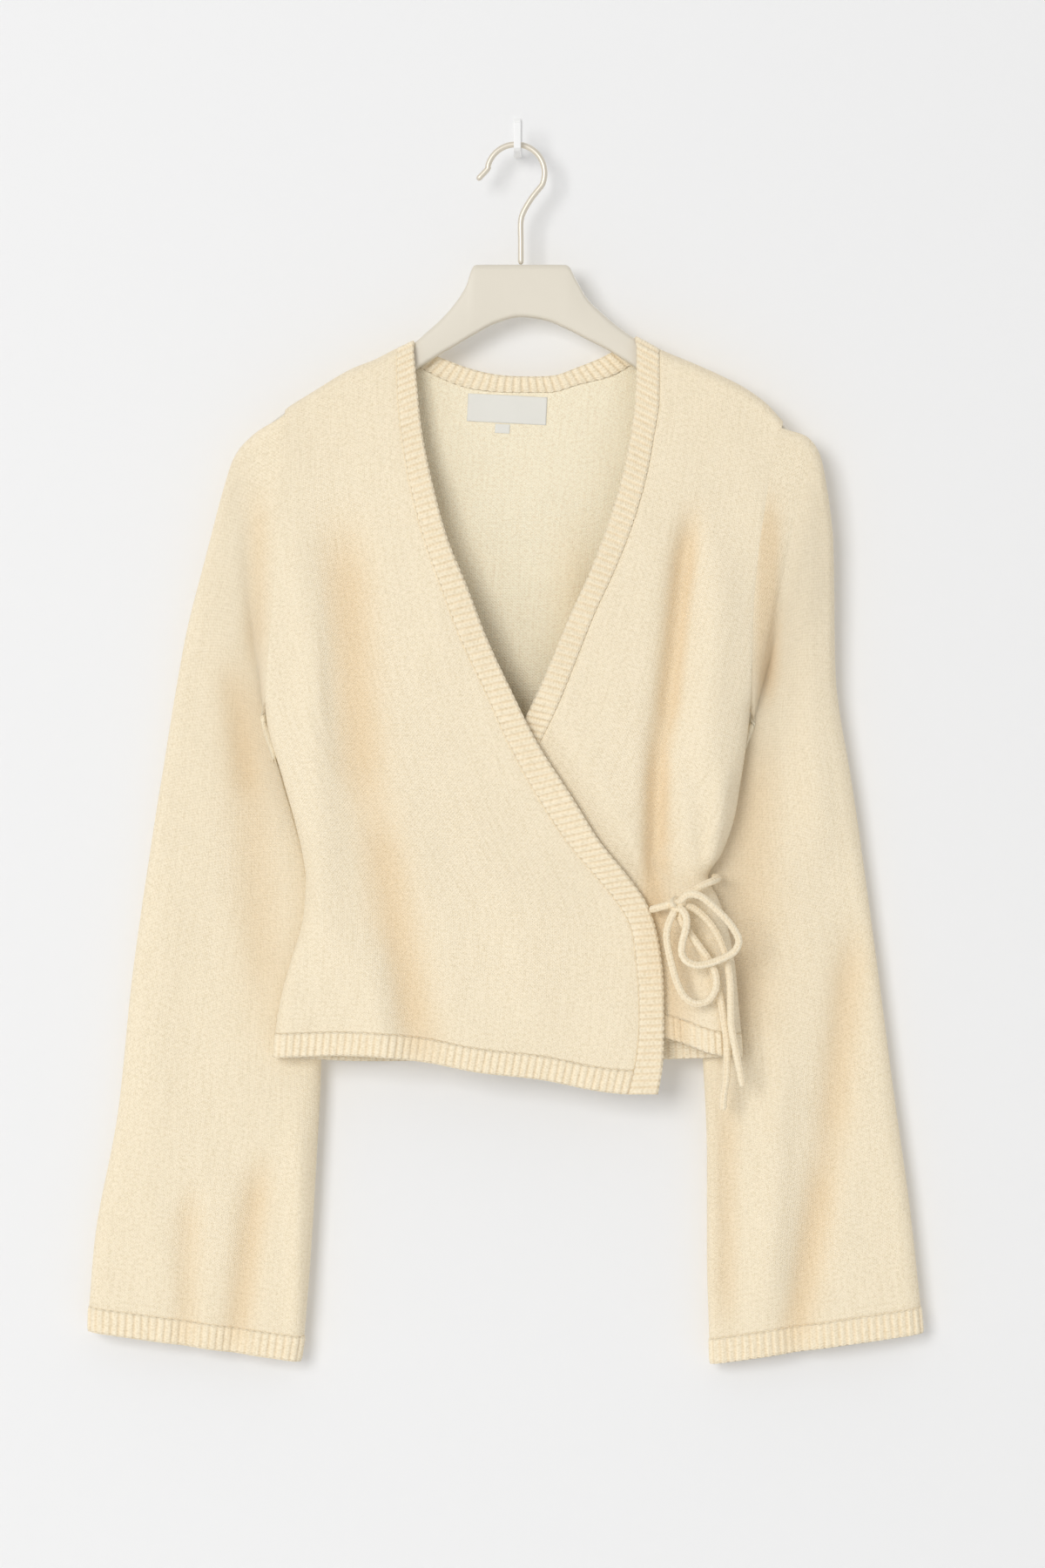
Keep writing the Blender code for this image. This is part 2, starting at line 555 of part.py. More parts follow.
def make_front(name, layer, band, hem, outer_is_left):
    """Front panel between its side edge and its band's inner seam."""
    hem_top = hem_line(hem, ABOVE_HEM)
    seam_shift = -SEAM_ROOM if outer_is_left else SEAM_ROOM
    seam = band_edge(band, "seam", seam_shift)
    side = left_edge if outer_is_left else right_edge
    side_top = SHOULDER_X[0] if outer_is_left else SHOULDER_X[1]
    seam_top = band[0][2] + seam_shift
    side_rows = panel_rows(float(crest(side_top)), float(hem_top(side(-0.61))))
    seam_end = float(hem_top(band[-1][2] + seam_shift))
    share = (side_rows - side_rows[0]) / (side_rows[-1] - side_rows[0])
    seam_rows = float(crest(seam_top)) + (seam_end - float(crest(seam_top))) * share
    seam_rows[:5] = float(crest(seam_top)) + (side_rows[:5] - side_rows[0])
    near_side = SIDE_SHARES
    rest = np.linspace(0.12, 1, 11) if outer_is_left else np.linspace(0.10, 1, 16)
    shares = np.concatenate([near_side, rest])
    if outer_is_left:
        x, z = panel_grid(side_rows, seam_rows, side, seam, crest, hem_top, shares)
    else:
        x, z = panel_grid(seam_rows, side_rows, seam, side, crest, hem_top, 1 - shares[::-1])
    points, normals = body_surface(x, z, layer)
    return wall(name, points, normals)


def make_back(name):
    hem_top = hem_line(BACK_HEM, ABOVE_HEM)
    neck = hem_line(NECK_SEAM, -SEAM_GAP - NECK_SAG)
    low, high = NECK_SEAM[0][0], NECK_SEAM[-1][0]

    def top(x):
        return np.where((x > low - NECK_REACH) & (x < high + NECK_REACH), neck(x), crest(x))

    left_rows = panel_rows(float(crest(SHOULDER_X[0])), float(hem_top(-0.165)))
    right_rows = panel_rows(float(crest(SHOULDER_X[1])), float(hem_top(0.152)))
    neck_shares = (column(NECK_SEAM, HEM_COLUMNS, "x") - SHOULDER_X[0]) / (SHOULDER_X[1] - SHOULDER_X[0])
    shares = np.concatenate([SIDE_SHARES, [0.115, 0.165], neck_shares, [0.82, 0.87], 1 - SIDE_SHARES[::-1]])
    shares = np.unique(np.round(shares, 5))
    x, z = panel_grid(left_rows, right_rows, left_edge, right_edge, top, hem_top, shares)
    points, normals = body_surface(x, z, "back")
    return wall(name, points, normals)


def ribbed_wall(name, outline_a, outline_b, surface, ribs, inside_face=False, wrap=False):
    """Ribbed strip between two edge lines, with two outer columns to a rib over a plainer inside.

    outline_a and outline_b give (x, z) at a share of the strip's length. With inside_face the ribs
    stand on the face towards the body's hollow.
    """
    columns = 2 * ribs if wrap else 2 * ribs + 1
    share = np.arange(columns) / (2 * ribs)
    rise = np.where(np.arange(columns) % 2 == 1, RIB_RISE, 0.0)
    points, normals = surface(share, outline_a, outline_b)
    lift = rise[None, :, None]
    ribbed = points - normals * (CLOTH + lift) if inside_face else points + normals * lift
    stride = 4
    picked = list(range(0, columns, stride))
    if not wrap and picked[-1] != columns - 1:
        picked.append(columns - 1)
    plain = points if inside_face else points - normals * CLOTH
    plain = plain[:, picked]
    n, m = columns, len(picked)
    faces = []
    base = 2 * n
    segments = m if wrap else m - 1
    for j in range(n if wrap else n - 1):
        k = (j + 1) % n
        faces.append((j, n + j, n + k, k))
    for s in range(segments):
        t = (s + 1) % m
        faces.append((base + t, base + m + t, base + m + s, base + s))
        stop = picked[t] if t else n
        between = [j % n for j in range(picked[s], stop + 1)]
        faces.append(tuple(between + [base + t, base + s]))
        faces.append(tuple([base + m + s, base + m + t] + [n + j for j in reversed(between)]))
    if not wrap:
        faces.append((0, base, base + m, n))
        faces.append((n - 1, 2 * n - 1, base + 2 * m - 1, base + m - 1))
    points = np.concatenate([ribbed.reshape(-1, 3), plain.reshape(-1, 3)])
    return add_mesh(name, points, faces, "rib")


def strip_surface(layer):
    """Surface function of a strip that lies on a body layer."""
    def surface(share, outline_a, outline_b):
        xa, za = outline_a(share)
        xb, zb = outline_b(share)
        return body_surface(np.stack([xa, xb]), np.stack([za, zb]), layer)
    return surface


def curve_line(xs, zs):
    """(x, z) at a share of the length of a smooth curve through the points."""
    length = np.concatenate([[0], np.cumsum(np.hypot(np.diff(xs), np.diff(zs)))])
    return lambda share: (smooth(length, xs, share * length[-1]), smooth(length, zs, share * length[-1]))


def straight_hem(table, lift, start, end):
    """Hem line from x = start to x = end, lifted above the hem's lower edge."""
    line = hem_line(table, lift)

    def at(share):
        x = start + (end - start) * share
        return x, line(x)
    return at


def make_band(name, layer, band, ribs):
    """Ribbed band along a front's neck edge, from the hanger's crest to the hem."""
    z = column(band, BAND_COLUMNS, "z")
    edge_x = column(band, BAND_COLUMNS, "edge")
    seam_x = column(band, BAND_COLUMNS, "seam")
    edge_z, seam_z = z.copy(), z.copy()
    edge_z[0], seam_z[0] = crest(edge_x[0]), crest(seam_x[0])
    hem = OUTER_HEM if layer == "outer" else UNDER_HEM
    edge_z[-1], seam_z[-1] = hem_line(hem)(edge_x[-1]), hem_line(hem)(seam_x[-1])
    return ribbed_wall(name, curve_line(edge_x, edge_z), curve_line(seam_x, seam_z),
                       strip_surface(layer), ribs)


def hem_ends(table, left, right):
    """Left and right ends of a hem's upper and lower edges."""
    low_left, low_right = table[0][1], table[-1][1]
    lifts = (HEM_HEIGHT, 0.0)
    return tuple((float(left(low_left + lift)), float(right(low_right + lift))) for lift in lifts)


def make_hem(name, layer, table, ends, ribs):
    upper = straight_hem(table, HEM_HEIGHT, *ends[0])
    lower = straight_hem(table, 0.0, *ends[1])
    return ribbed_wall(name, upper, lower, strip_surface(layer), ribs)


def make_neck_band(name):
    seam = curve_line(*np.array(NECK_SEAM).T)
    edge = curve_line(*np.array(NECK_EDGE).T)
    return ribbed_wall(name, edge, seam, strip_surface("back"), RIBS["back_neck"], inside_face=True)


def sleeve_surface(rings, side, row, around, folds):
    """Outer points and normals of a sleeve. row is 0 at the armhole and 1 at the cuff seam.

    around runs from 0 to 1 over the front from the outer edge to the inner edge, and from 1 to 2 back
    over the rear.
    """
    key = np.linspace(0, 1, len(rings))
    value = {name: smooth(key, column(rings, RING_COLUMNS, name), row) for name in RING_COLUMNS}
    front = around <= 1
    w = np.where(front, around, 2 - around)
    x = value["outer_x"] + (value["inner_x"] - value["outer_x"]) * w
    z = value["outer_z"] + (value["inner_z"] - value["outer_z"]) * w
    y_mid = value["outer_y"] + (value["inner_y"] - value["outer_y"]) * ease(w, 0.15, 1.0)
    length = np.hypot(value["inner_x"] - value["outer_x"], value["inner_z"] - value["outer_z"])
    rounded = turn(w * length, SLEEVE_RADIUS) * turn((1 - w) * length, SLEEVE_RADIUS)
    half = value["half_depth"] * rounded * (0.85 + 0.15 * np.sin(np.pi * w))
    y = y_mid + np.where(front, -half, half)
    fade = ease(row, 0.04, 0.25) * rounded
    y = y - np.where(front, 1.0, 0.5) * fold_rise(folds, x, z) * fade
    edge = left_edge if side < 0 else right_edge
    seam_x = edge(z) + side * SLEEVE_START[side]
    layer_depth = np.where(front, body_depth(edge(z), z, "outer"), body_depth(edge(z), z, "back"))
    seam_y = depth_value("seam_y", z) + np.where(front, -1, 1) * layer_depth * (w > 0) * (w < 1)
    keep = 1 - ease(row, 0.0, 0.11)
    x = x + (seam_x - x) * keep ** 2
    y = y + (seam_y - y) * keep
    return np.stack([x, y, z], axis=-1)


def grid_normals(points):
    """Outward normals of a ring grid from its neighbours."""
    down = np.gradient(points, axis=0)
    across = np.roll(points, -1, axis=1) - np.roll(points, 1, axis=1)
    return unit(np.cross(down, across))


def make_sleeve(name, cuff_name, rings, cuff, side, folds):
    key_count = len(rings) - 1
    rows = np.concatenate([[0, 0.25, 0.6], np.arange(1, key_count + 1)]) / key_count
    front = np.array([0, 0.010, 0.035, 0.08, 0.16, 0.26, 0.38, 0.50, 0.62, 0.74, 0.86, 0.95, 0.988])
    rear = 1.0 + np.array([0, 0.012, 0.05, 0.16, 0.32, 0.5, 0.68, 0.84, 0.92, 0.965, 0.990])
    around = np.concatenate([front, rear])
    points = sleeve_surface(rings, side, rows[:, None], around[None, :], folds)
    normals = grid_normals(points) * -side
    normals[..., 0] *= ease(rows, 0, 0.16)[:, None]
    normals = unit(normals)
    wall(name, points, normals, wrap=True)
    make_cuff(cuff_name, rings, cuff, side, folds)


def cuff_ring(rings, cuff, side, around, folds, level):
    """Ring of the cuff: level 0 at its seam, 1 at its lower edge."""
    base = sleeve_surface(rings, side, np.ones((1, 1)), around[None, :], folds)[0]
    w = np.where(around <= 1, around, 2 - around)
    low_x = cuff[0] + (cuff[2] - cuff[0]) * w
    low_z = cuff[1] + (cuff[3] - cuff[1]) * w
    gap = SEAM_GAP / HEM_HEIGHT
    share = gap + (1 - gap) * level
    x = base[:, 0] + (low_x - base[:, 0]) * share
    z = base[:, 2] + (low_z - base[:, 2]) * share
    return np.stack([x, base[:, 1], z], axis=-1)


def make_cuff(name, rings, cuff, side, folds):
    ribs = RIBS["cuff"]

    def surface(share, outline_a, outline_b):
        fine = np.linspace(0, 2, 401)[:-1]
        ring = cuff_ring(rings, cuff, side, fine, folds, 0.0)
        closed = np.vstack([ring, ring[:1]])
        length = np.concatenate([[0], np.cumsum(np.linalg.norm(np.diff(closed, axis=0), axis=1))])
        around = np.interp(share * length[-1], length, np.linspace(0, 2, 401))
        points = np.stack([cuff_ring(rings, cuff, side, around, folds, level) for level in (0.0, 1.0)])
        across = np.roll(points, -1, axis=1) - np.roll(points, 1, axis=1)
        down = points[1:] - points[:1]
        return points, unit(np.cross(down, across)) * -side
    return ribbed_wall(name, None, None, surface, ribs, wrap=True)


def make_patch(name, middle_x, top_z, width, height, tilt):
    """Flat label on the back's inner face, made from that face's points and moved towards the viewer."""
    us, vs = np.linspace(-0.5, 0.5, 7), np.linspace(0, 1, 3)
    u, v = np.meshgrid(us, vs)
    x = middle_x + u * width * np.cos(tilt) - v * height * np.sin(tilt)
    z = top_z - u * width * np.sin(tilt) - v * height * np.cos(tilt)
    points, normals = body_surface(x, z, "back")
    away = CLOTH + SEAM_GAP + LABEL_THICKNESS
    return wall(name, points - normals * away, -normals, thickness=LABEL_THICKNESS, finish="label")


def make_hanger(name):
    """Hanger body: rounded sections along X, thinner towards the tips."""
    xs = column(HANGER, HANGER_COLUMNS, "x")
    reach = abs(xs - HANGER_MIDDLE)
    drop = HANGER_DROP * ease(reach, 0.064, 0.071) + TIP_DROP * ease(reach, 0.150, 0.185)
    tops = column(HANGER, HANGER_COLUMNS, "top")
    bottoms = column(HANGER, HANGER_COLUMNS, "bottom")
    tops = tops - np.minimum(drop, (tops - bottoms) / 2)
    rings = []
    for x, top, bottom in zip(xs, tops, bottoms):
        height = top - bottom
        half = (HANGER_HALF - HANGER_CROWN) * min(1.0, 0.45 + 0.55 * (height / 0.013) ** 2)
        bend = min(0.0045, 0.45 * height)
        front = hanger_side(top, bottom, half, bend, (0.0, 0.28, 0.72, 1.0), 0.50)
        rear = hanger_side(top, bottom, half, bend, (0.0, 0.36, 0.70, 1.0), 0.44)
        section = [(-depth, z) for depth, z in front] + [(depth, z) for depth, z in reversed(rear)]
        rings.append([(x + HANGER_SKEW * y, HANGER_Y + y, z) for y, z in section])
    return loft(name, np.array(rings), "hanger")


def hanger_side(top, bottom, half, bend, corner, middle):
    """One side of a hanger section from its top to its underside, as (depth, z)."""
    upper = [(half - bend * 0.9 * (1 - np.sin(share * np.pi / 2)),
              top - bend * (1 - np.cos(share * np.pi / 2))) for share in corner]
    lower = [(half - bend * 0.6 * (1 - np.sin(share * np.pi / 2)),
              bottom + bend * 0.6 * (1 - np.cos(share * np.pi / 2))) for share in (1.0, 0.5, 0.0)]
    swell = (half + HANGER_CROWN, upper[-1][1] + (lower[0][1] - upper[-1][1]) * middle)
    return upper + [swell] + lower


def loft(name, rings, finish):
    """Closed solid through rings of equal counts, with flat ends."""
    rows, columns = rings.shape[:2]
    faces = grid_faces(rows, columns, True)
    faces.append(tuple(range(columns)))
    faces.append(tuple((rows - 1) * columns + j for j in reversed(range(columns))))
    return add_mesh(name, rings.reshape(-1, 3), faces, finish)


def make_tube(name, points, radius, finish, resolution=2):
    """Round tube with closed ends along a list of points."""
    curve = bpy.data.curves.new(name, "CURVE")
    curve.dimensions = "3D"
    curve.bevel_depth = radius
    curve.bevel_resolution = resolution
    curve.use_fill_caps = True
    spline = curve.splines.new("POLY")
    spline.points.add(len(points) - 1)
    for point, place in zip(spline.points, points):
        point.co = (*place, 1.0)
    tube = bpy.data.objects.new(name, curve)
    bpy.context.scene.collection.objects.link(tube)
    curve.materials.append(material(finish))
    return tube


def smooth_route(route, spacing):
    """Evenly spaced points on a smooth curve through a route's own points."""
    route = np.array(route, float)
    length = np.concatenate([[0], np.cumsum(np.linalg.norm(np.diff(route, axis=0), axis=1))])
    padded = np.vstack([2 * route[0] - route[1], route, 2 * route[-1] - route[-2]])
    fine = []
    for i in range(len(route) - 1):
        p0, p1, p2, p3 = padded[i:i + 4]
        for t in np.linspace(0, 1, 12, endpoint=False):
            fine.append(0.5 * (2 * p1 + (p2 - p0) * t + (2 * p0 - 5 * p1 + 4 * p2 - p3) * t**2
                               + (3 * p1 - p0 - 3 * p2 + p3) * t**3))
    fine = np.array(fine + [route[-1]])
    run = np.concatenate([[0], np.cumsum(np.linalg.norm(np.diff(fine, axis=0), axis=1))])
    count = max(3, int(round(run[-1] / spacing)) + 1)
    at = np.linspace(0, run[-1], count)
    return np.stack([np.interp(at, run, fine[:, k]) for k in range(3)], axis=-1)


def make_hanger_hook(name):
    """Wire hook: stem, bend, a round arc over the wall hook's arm, and a straight tip."""
    centre_x, centre_z = HOOK_CENTRE
    angles = np.radians(np.linspace(-24, 172, 15))
    arc = [(centre_x + HOOK_RADIUS * np.cos(a), centre_z + HOOK_RADIUS * np.sin(a)) for a in angles]
    plan = list(HOOK_STEM) + arc + [HOOK_TIP]
    route = [(x, HANGER_Y, z) for x, z in plan]
    return make_tube(name, smooth_route(route, 0.0050), WIRE_RADIUS, "wire", 3)


def make_wall_hook(name):
    """Small wall hook, extruded along X from its side profile."""
    half = WALL_HOOK_WIDTH / 2
    count = len(WALL_HOOK_PROFILE)
    points = [(-half, y, z) for y, z in WALL_HOOK_PROFILE] + [(half, y, z) for y, z in WALL_HOOK_PROFILE]
    faces = [tuple(range(count)), tuple(count + j for j in reversed(range(count)))]
    for j in range(count):
        k = (j + 1) % count
        faces.append((k, j, count + j, count + k))
    return add_mesh(name, np.array(points), faces, "hook")


def make_knot(name):
    """Small wrapped knot: a rounded body with two shallow grooves."""
    rings = []
    for i in range(1, 8):
        polar = np.pi * i / 8
        ring = []
        for j in range(12):
            turn_angle = 2 * np.pi * j / 12
            groove = 1 - 0.06 * np.cos(3 * turn_angle + 1.2 * polar)
            ring.append((
                KNOT_CENTRE[0] + KNOT_RADII[0] * np.cos(polar),
                KNOT_CENTRE[1] - KNOT_RADII[1] * np.sin(polar) * np.cos(turn_angle) * groove,
                KNOT_CENTRE[2] + KNOT_RADII[2] * np.sin(polar) * np.sin(turn_angle) * groove))
        rings.append(ring)
    return loft(name, np.array(rings), "rib")


def knot_port(way):
    """Where a strand that leaves the knot in a direction starts, just clear of the knot."""
    way = unit(np.array(way))
    reach = 1 / np.linalg.norm(way / np.array(KNOT_RADII)) + KNOT_GAP
    return tuple(np.array(KNOT_CENTRE) + way * reach)


def main():
    for old in list(bpy.data.objects):
        bpy.data.objects.remove(old, do_unlink=True)

    make_front("front_outer", "outer", OUTER_BAND, OUTER_HEM, True)
    make_front("front_under", "under", UNDER_BAND, UNDER_HEM, False)
    make_back("back_panel")
    make_band("band_outer", "outer", OUTER_BAND, RIBS["outer_band"])
    make_band("band_under", "under", UNDER_BAND, RIBS["under_band"])
    outer_seam = band_edge(OUTER_BAND, "seam", -SEAM_ROOM)
    under_seam = band_edge(UNDER_BAND, "seam", SEAM_ROOM)
    outer_ends = hem_ends(OUTER_HEM, left_edge, outer_seam)
    under_ends = hem_ends(UNDER_HEM, under_seam, right_edge)
    back_ends = hem_ends(BACK_HEM, left_edge, right_edge)
    make_hem("hem_outer", "outer", OUTER_HEM, outer_ends, RIBS["outer_front"])
    make_hem("hem_under", "under", UNDER_HEM, under_ends, RIBS["under_front"])
    make_hem("hem_back", "back", BACK_HEM, back_ends, RIBS["back"])
    make_neck_band("back_neck_band")
    make_sleeve("sleeve_left", "cuff_left", LEFT_SLEEVE, LEFT_CUFF, -1, LEFT_SLEEVE_FOLDS)
    make_sleeve("sleeve_right", "cuff_right", RIGHT_SLEEVE, RIGHT_CUFF, 1, RIGHT_SLEEVE_FOLDS)
    make_patch("neck_label", *LABEL, LABEL_TILT)
    make_patch("size_tab", *SIZE_TAB, LABEL_TILT)
    make_hanger("hanger_body")
    make_hanger_hook("hanger_hook")
    make_wall_hook("wall_hook")
    make_knot("tie_knot")
    for name, leaves, route, enters in TIES:
        ends = [[knot_port(way)] if way else [] for way in (leaves, enters)]
        make_tube(name, smooth_route(ends[0] + list(route) + ends[1], 0.0062), TIE_RADIUS, "rib")


main()
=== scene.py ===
# Looks of a knitted wrap cardigan on a hanger and a small wall hook.
# Metres. X runs to the viewer's right, -Y towards the viewer and +Z up. The origin is on the wall.

import bpy
import numpy as np
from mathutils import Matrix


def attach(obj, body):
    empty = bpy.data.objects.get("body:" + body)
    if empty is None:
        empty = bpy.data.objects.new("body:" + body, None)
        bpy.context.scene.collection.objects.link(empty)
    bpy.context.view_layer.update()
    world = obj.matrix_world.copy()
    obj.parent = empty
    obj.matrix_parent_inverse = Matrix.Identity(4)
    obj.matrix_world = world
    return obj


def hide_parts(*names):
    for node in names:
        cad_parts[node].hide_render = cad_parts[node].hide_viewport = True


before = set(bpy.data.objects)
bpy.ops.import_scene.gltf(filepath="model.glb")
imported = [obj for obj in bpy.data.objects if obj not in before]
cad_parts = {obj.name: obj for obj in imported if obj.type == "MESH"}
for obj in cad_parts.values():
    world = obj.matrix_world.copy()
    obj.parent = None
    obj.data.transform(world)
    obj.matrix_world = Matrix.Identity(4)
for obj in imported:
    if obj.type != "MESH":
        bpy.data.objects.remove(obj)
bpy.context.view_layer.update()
random = np.random.default_rng(41)

# Cloth and seams
CLOTH = 0.0018            # thickness of the knit wall
SEAM_GAP = 0.00004        # gap between pieces at a seam
HALF_GAP = SEAM_GAP / 2
TUCKED = 0.0004           # how far a panel runs in behind its ribs
HEM_HEIGHT = 0.016
ABOVE_HEM = HEM_HEIGHT - TUCKED
RIB_RISE = 0.0011         # how far a rib stands out of its wall
FOLD_GAIN = 1.35          # the knit's folds are this much deeper than the plain solids'
CREST_RADIUS = 0.0075     # how sharply the cloth turns over the hanger
EDGE_RADIUS = 0.010       # how sharply the body turns at its side seams
SLEEVE_RADIUS = 0.011     # how sharply a sleeve turns at its two edges
HANGER_CLEARANCE = 0.0023 # from the hanger table's top line to the cloth's outer face
HANGER_Y = -0.025         # middle plane of the hanger
HANGER_HALF = 0.0050      # half its thickness where it is tallest
HANGER_TALL = 0.013       # height at which a section has its full thickness
HANGER_BEND = 0.0045      # how far its edges are rounded
SHOULDER_X = (-0.1571, 0.1800)
UNDERARM_Z = -0.389
SLEEVE_START = {-1: -0.0012, 1: -0.0012}  # each sleeve starts just behind its armhole edge
TUCK = 0.0062             # how far the under front lies behind the outer front
TUCK_REACH = (0.003, 0.026)    # it comes forward again between these distances past the outer band's edge
BACK_RAMP = (0.045, 0.095)     # distance from its edges over which the back reaches its middle depth
FRONT_RAMP = (0.015, 0.080)    # the same for the fronts
ARM_OPENING = 0.045       # height above the underarm over which the edge opens to its full depth
BACK_FOLD_START = (0.20, 0.26) # depth below the origin over which the back's folds begin
TIE_RADIUS = 0.0025
WIRE_RADIUS = 0.002

# Hanger, one row per section from its left tip to its right tip
HANGER_COLUMNS = ("x", "top", "bottom")
HANGER = (
    (-0.1860, -0.2150, -0.2185),
    (-0.1840, -0.2118, -0.2222),
    (-0.1765, -0.2050, -0.2215),
    (-0.1670, -0.1968, -0.2150),
    (-0.1571, -0.1895, -0.2087),
    (-0.1365, -0.1765, -0.1970),
    (-0.1129, -0.1625, -0.1850),
    (-0.0953, -0.1553, -0.1755),
    (-0.0824, -0.1486, -0.1682),
    (-0.0706, -0.1429, -0.1615),
    (-0.0610, -0.1348, -0.1555),
    (-0.0515, -0.1262, -0.1495),
    (-0.0429, -0.1165, -0.1446),
    (-0.0353, -0.1050, -0.1400),
    (-0.0282, -0.0896, -0.1360),
    (-0.0150, -0.0894, -0.1290),
    (0.0024, -0.0894, -0.1247),
    (0.0200, -0.0894, -0.1272),
    (0.0329, -0.0896, -0.1325),
    (0.0400, -0.0998, -0.1360),
    (0.0476, -0.1126, -0.1400),
    (0.0606, -0.1252, -0.1465),
    (0.0710, -0.1335, -0.1530),
    (0.0806, -0.1400, -0.1592),
    (0.0959, -0.1485, -0.1682),
    (0.1206, -0.1590, -0.1800),
    (0.1380, -0.1668, -0.1885),
    (0.1559, -0.1762, -0.1970),
    (0.1700, -0.1868, -0.2060),
    (0.1800, -0.1975, -0.2130),
    (0.1900, -0.2050, -0.2190),
    (0.1950, -0.2100, -0.2205),
    (0.1970, -0.2135, -0.2175),
)

# Depths of the body from its seam plane, one row per height
DEPTH_COLUMNS = ("z", "seam_y", "front_mid", "front_side", "back_mid", "back_side")
DEPTHS = (
    (-0.130, -0.0250, 0.0094, 0.0094, 0.0094, 0.0094),
    (-0.190, -0.0250, 0.0118, 0.0098, 0.0100, 0.0094),
    (-0.250, -0.0262, 0.0155, 0.0120, 0.0115, 0.0100),
    (-0.320, -0.0280, 0.0180, 0.0128, 0.0135, 0.0088),
    (-0.389, -0.0300, 0.0185, 0.0125, 0.0155, 0.0058),
    (-0.430, -0.0300, 0.0180, 0.0125, 0.0160, 0.0046),
    (-0.500, -0.0300, 0.0170, 0.0115, 0.0160, 0.0046),
    (-0.560, -0.0300, 0.0160, 0.0112, 0.0160, 0.0046),
    (-0.660, -0.0300, 0.0165, 0.0115, 0.0160, 0.0046),
)

# Body's left and right edges: armhole seam above the underarm, side seam below it
EDGE_COLUMNS = ("z", "left", "right")
BODY_EDGES = (
    (-0.1871, -0.1571, 0.1822),
    (-0.2200, -0.1586, 0.1735),
    (-0.2600, -0.1608, 0.1667),
    (-0.3200, -0.1650, 0.1597),
    (-0.3600, -0.1686, 0.1584),
    (-0.3890, -0.1706, 0.1577),
    (-0.4394, -0.1585, 0.1514),
    (-0.4700, -0.1500, 0.1455),
    (-0.4900, -0.1455, 0.1376),
    (-0.5040, -0.1436, 0.1292),
    (-0.5180, -0.1440, 0.1360),
    (-0.5353, -0.1462, 0.1418),
    (-0.5600, -0.1535, 0.1472),
    (-0.5882, -0.1610, 0.1500),
    (-0.6259, -0.1655, 0.1529),
    (-0.6600, -0.1660, 0.1535),
)

# Front bands: neck edge and inner seam, one row per height
BAND_COLUMNS = ("z", "edge", "seam")
OUTER_BAND = (
    (-0.1400, -0.0706, -0.0814),
    (-0.1700, -0.0680, -0.0812),
    (-0.2047, -0.0641, -0.0782),
    (-0.2412, -0.0565, -0.0720),
    (-0.2771, -0.0465, -0.0626),
    (-0.3088, -0.0335, -0.0512),
    (-0.3441, -0.0200, -0.0378),
    (-0.3794, -0.0035, -0.0212),
    (-0.4135, 0.0135, -0.0060),
    (-0.4494, 0.0365, 0.0135),
    (-0.4812, 0.0565, 0.0343),
    (-0.5035, 0.0747, 0.0530),
    (-0.5218, 0.0872, 0.0680),
    (-0.5353, 0.0924, 0.0757),
    (-0.5600, 0.0971, 0.0800),
    (-0.5935, 0.0988, 0.0822),
    (-0.6271, 0.0982, 0.0800),
    (-0.6500, 0.0947, 0.0747),
)
UNDER_BAND = (
    (-0.1371, 0.0806, 0.0959),
    (-0.1800, 0.0798, 0.0959),
    (-0.2047, 0.0765, 0.0925),
    (-0.2341, 0.0706, 0.0870),
    (-0.2671, 0.0606, 0.0774),
    (-0.2971, 0.0494, 0.0656),
    (-0.3265, 0.0359, 0.0520),
    (-0.3582, 0.0229, 0.0394),
    (-0.3900, 0.0085, 0.0265),
    (-0.4300, -0.0120, 0.0065),
    (-0.4750, -0.0370, -0.0160),
    (-0.5120, -0.0600, -0.0380),
    (-0.5400, -0.0770, -0.0570),
    (-0.5650, -0.0870, -0.0695),
    (-0.6060, -0.0900, -0.0735),
)

# Lower edges of the three hems
HEM_COLUMNS = ("x", "z")
OUTER_HEM = (
    (-0.1655, -0.6259), (-0.1182, -0.6243), (-0.0835, -0.6259), (-0.0600, -0.6288),
    (-0.0306, -0.6347), (0.0182, -0.6406), (0.0571, -0.6482), (0.0765, -0.6500), (0.0947, -0.6500),
)
UNDER_HEM = (
    (-0.0900, -0.6060), (-0.0300, -0.6045), (0.0300, -0.6055), (0.0800, -0.6095),
    (0.0988, -0.6124), (0.1129, -0.6165), (0.1288, -0.6224), (0.1400, -0.6247), (0.1529, -0.6259),
)
BACK_HEM = (
    (-0.1655, -0.6259), (-0.1000, -0.6292), (0.0000, -0.6300), (0.0900, -0.6280), (0.1529, -0.6259),
)

# Back neck: lower seam and upper edge of its band
NECK_SEAM = (
    (-0.0824, -0.1465), (-0.0720, -0.1550), (-0.0600, -0.1618), (-0.0376, -0.1712), (-0.0182, -0.1747),
    (0.0000, -0.1753), (0.0212, -0.1753), (0.0418, -0.1700), (0.0671, -0.1629), (0.0820, -0.1540),
    (0.0959, -0.1465),
)
NECK_EDGE = (
    (-0.0706, -0.1406), (-0.0600, -0.1480), (-0.0488, -0.1529), (-0.0282, -0.1600), (-0.0100, -0.1635),
    (0.0082, -0.1641), (0.0241, -0.1635), (0.0418, -0.1576), (0.0588, -0.1506), (0.0700, -0.1442),
    (0.0806, -0.1377),
)

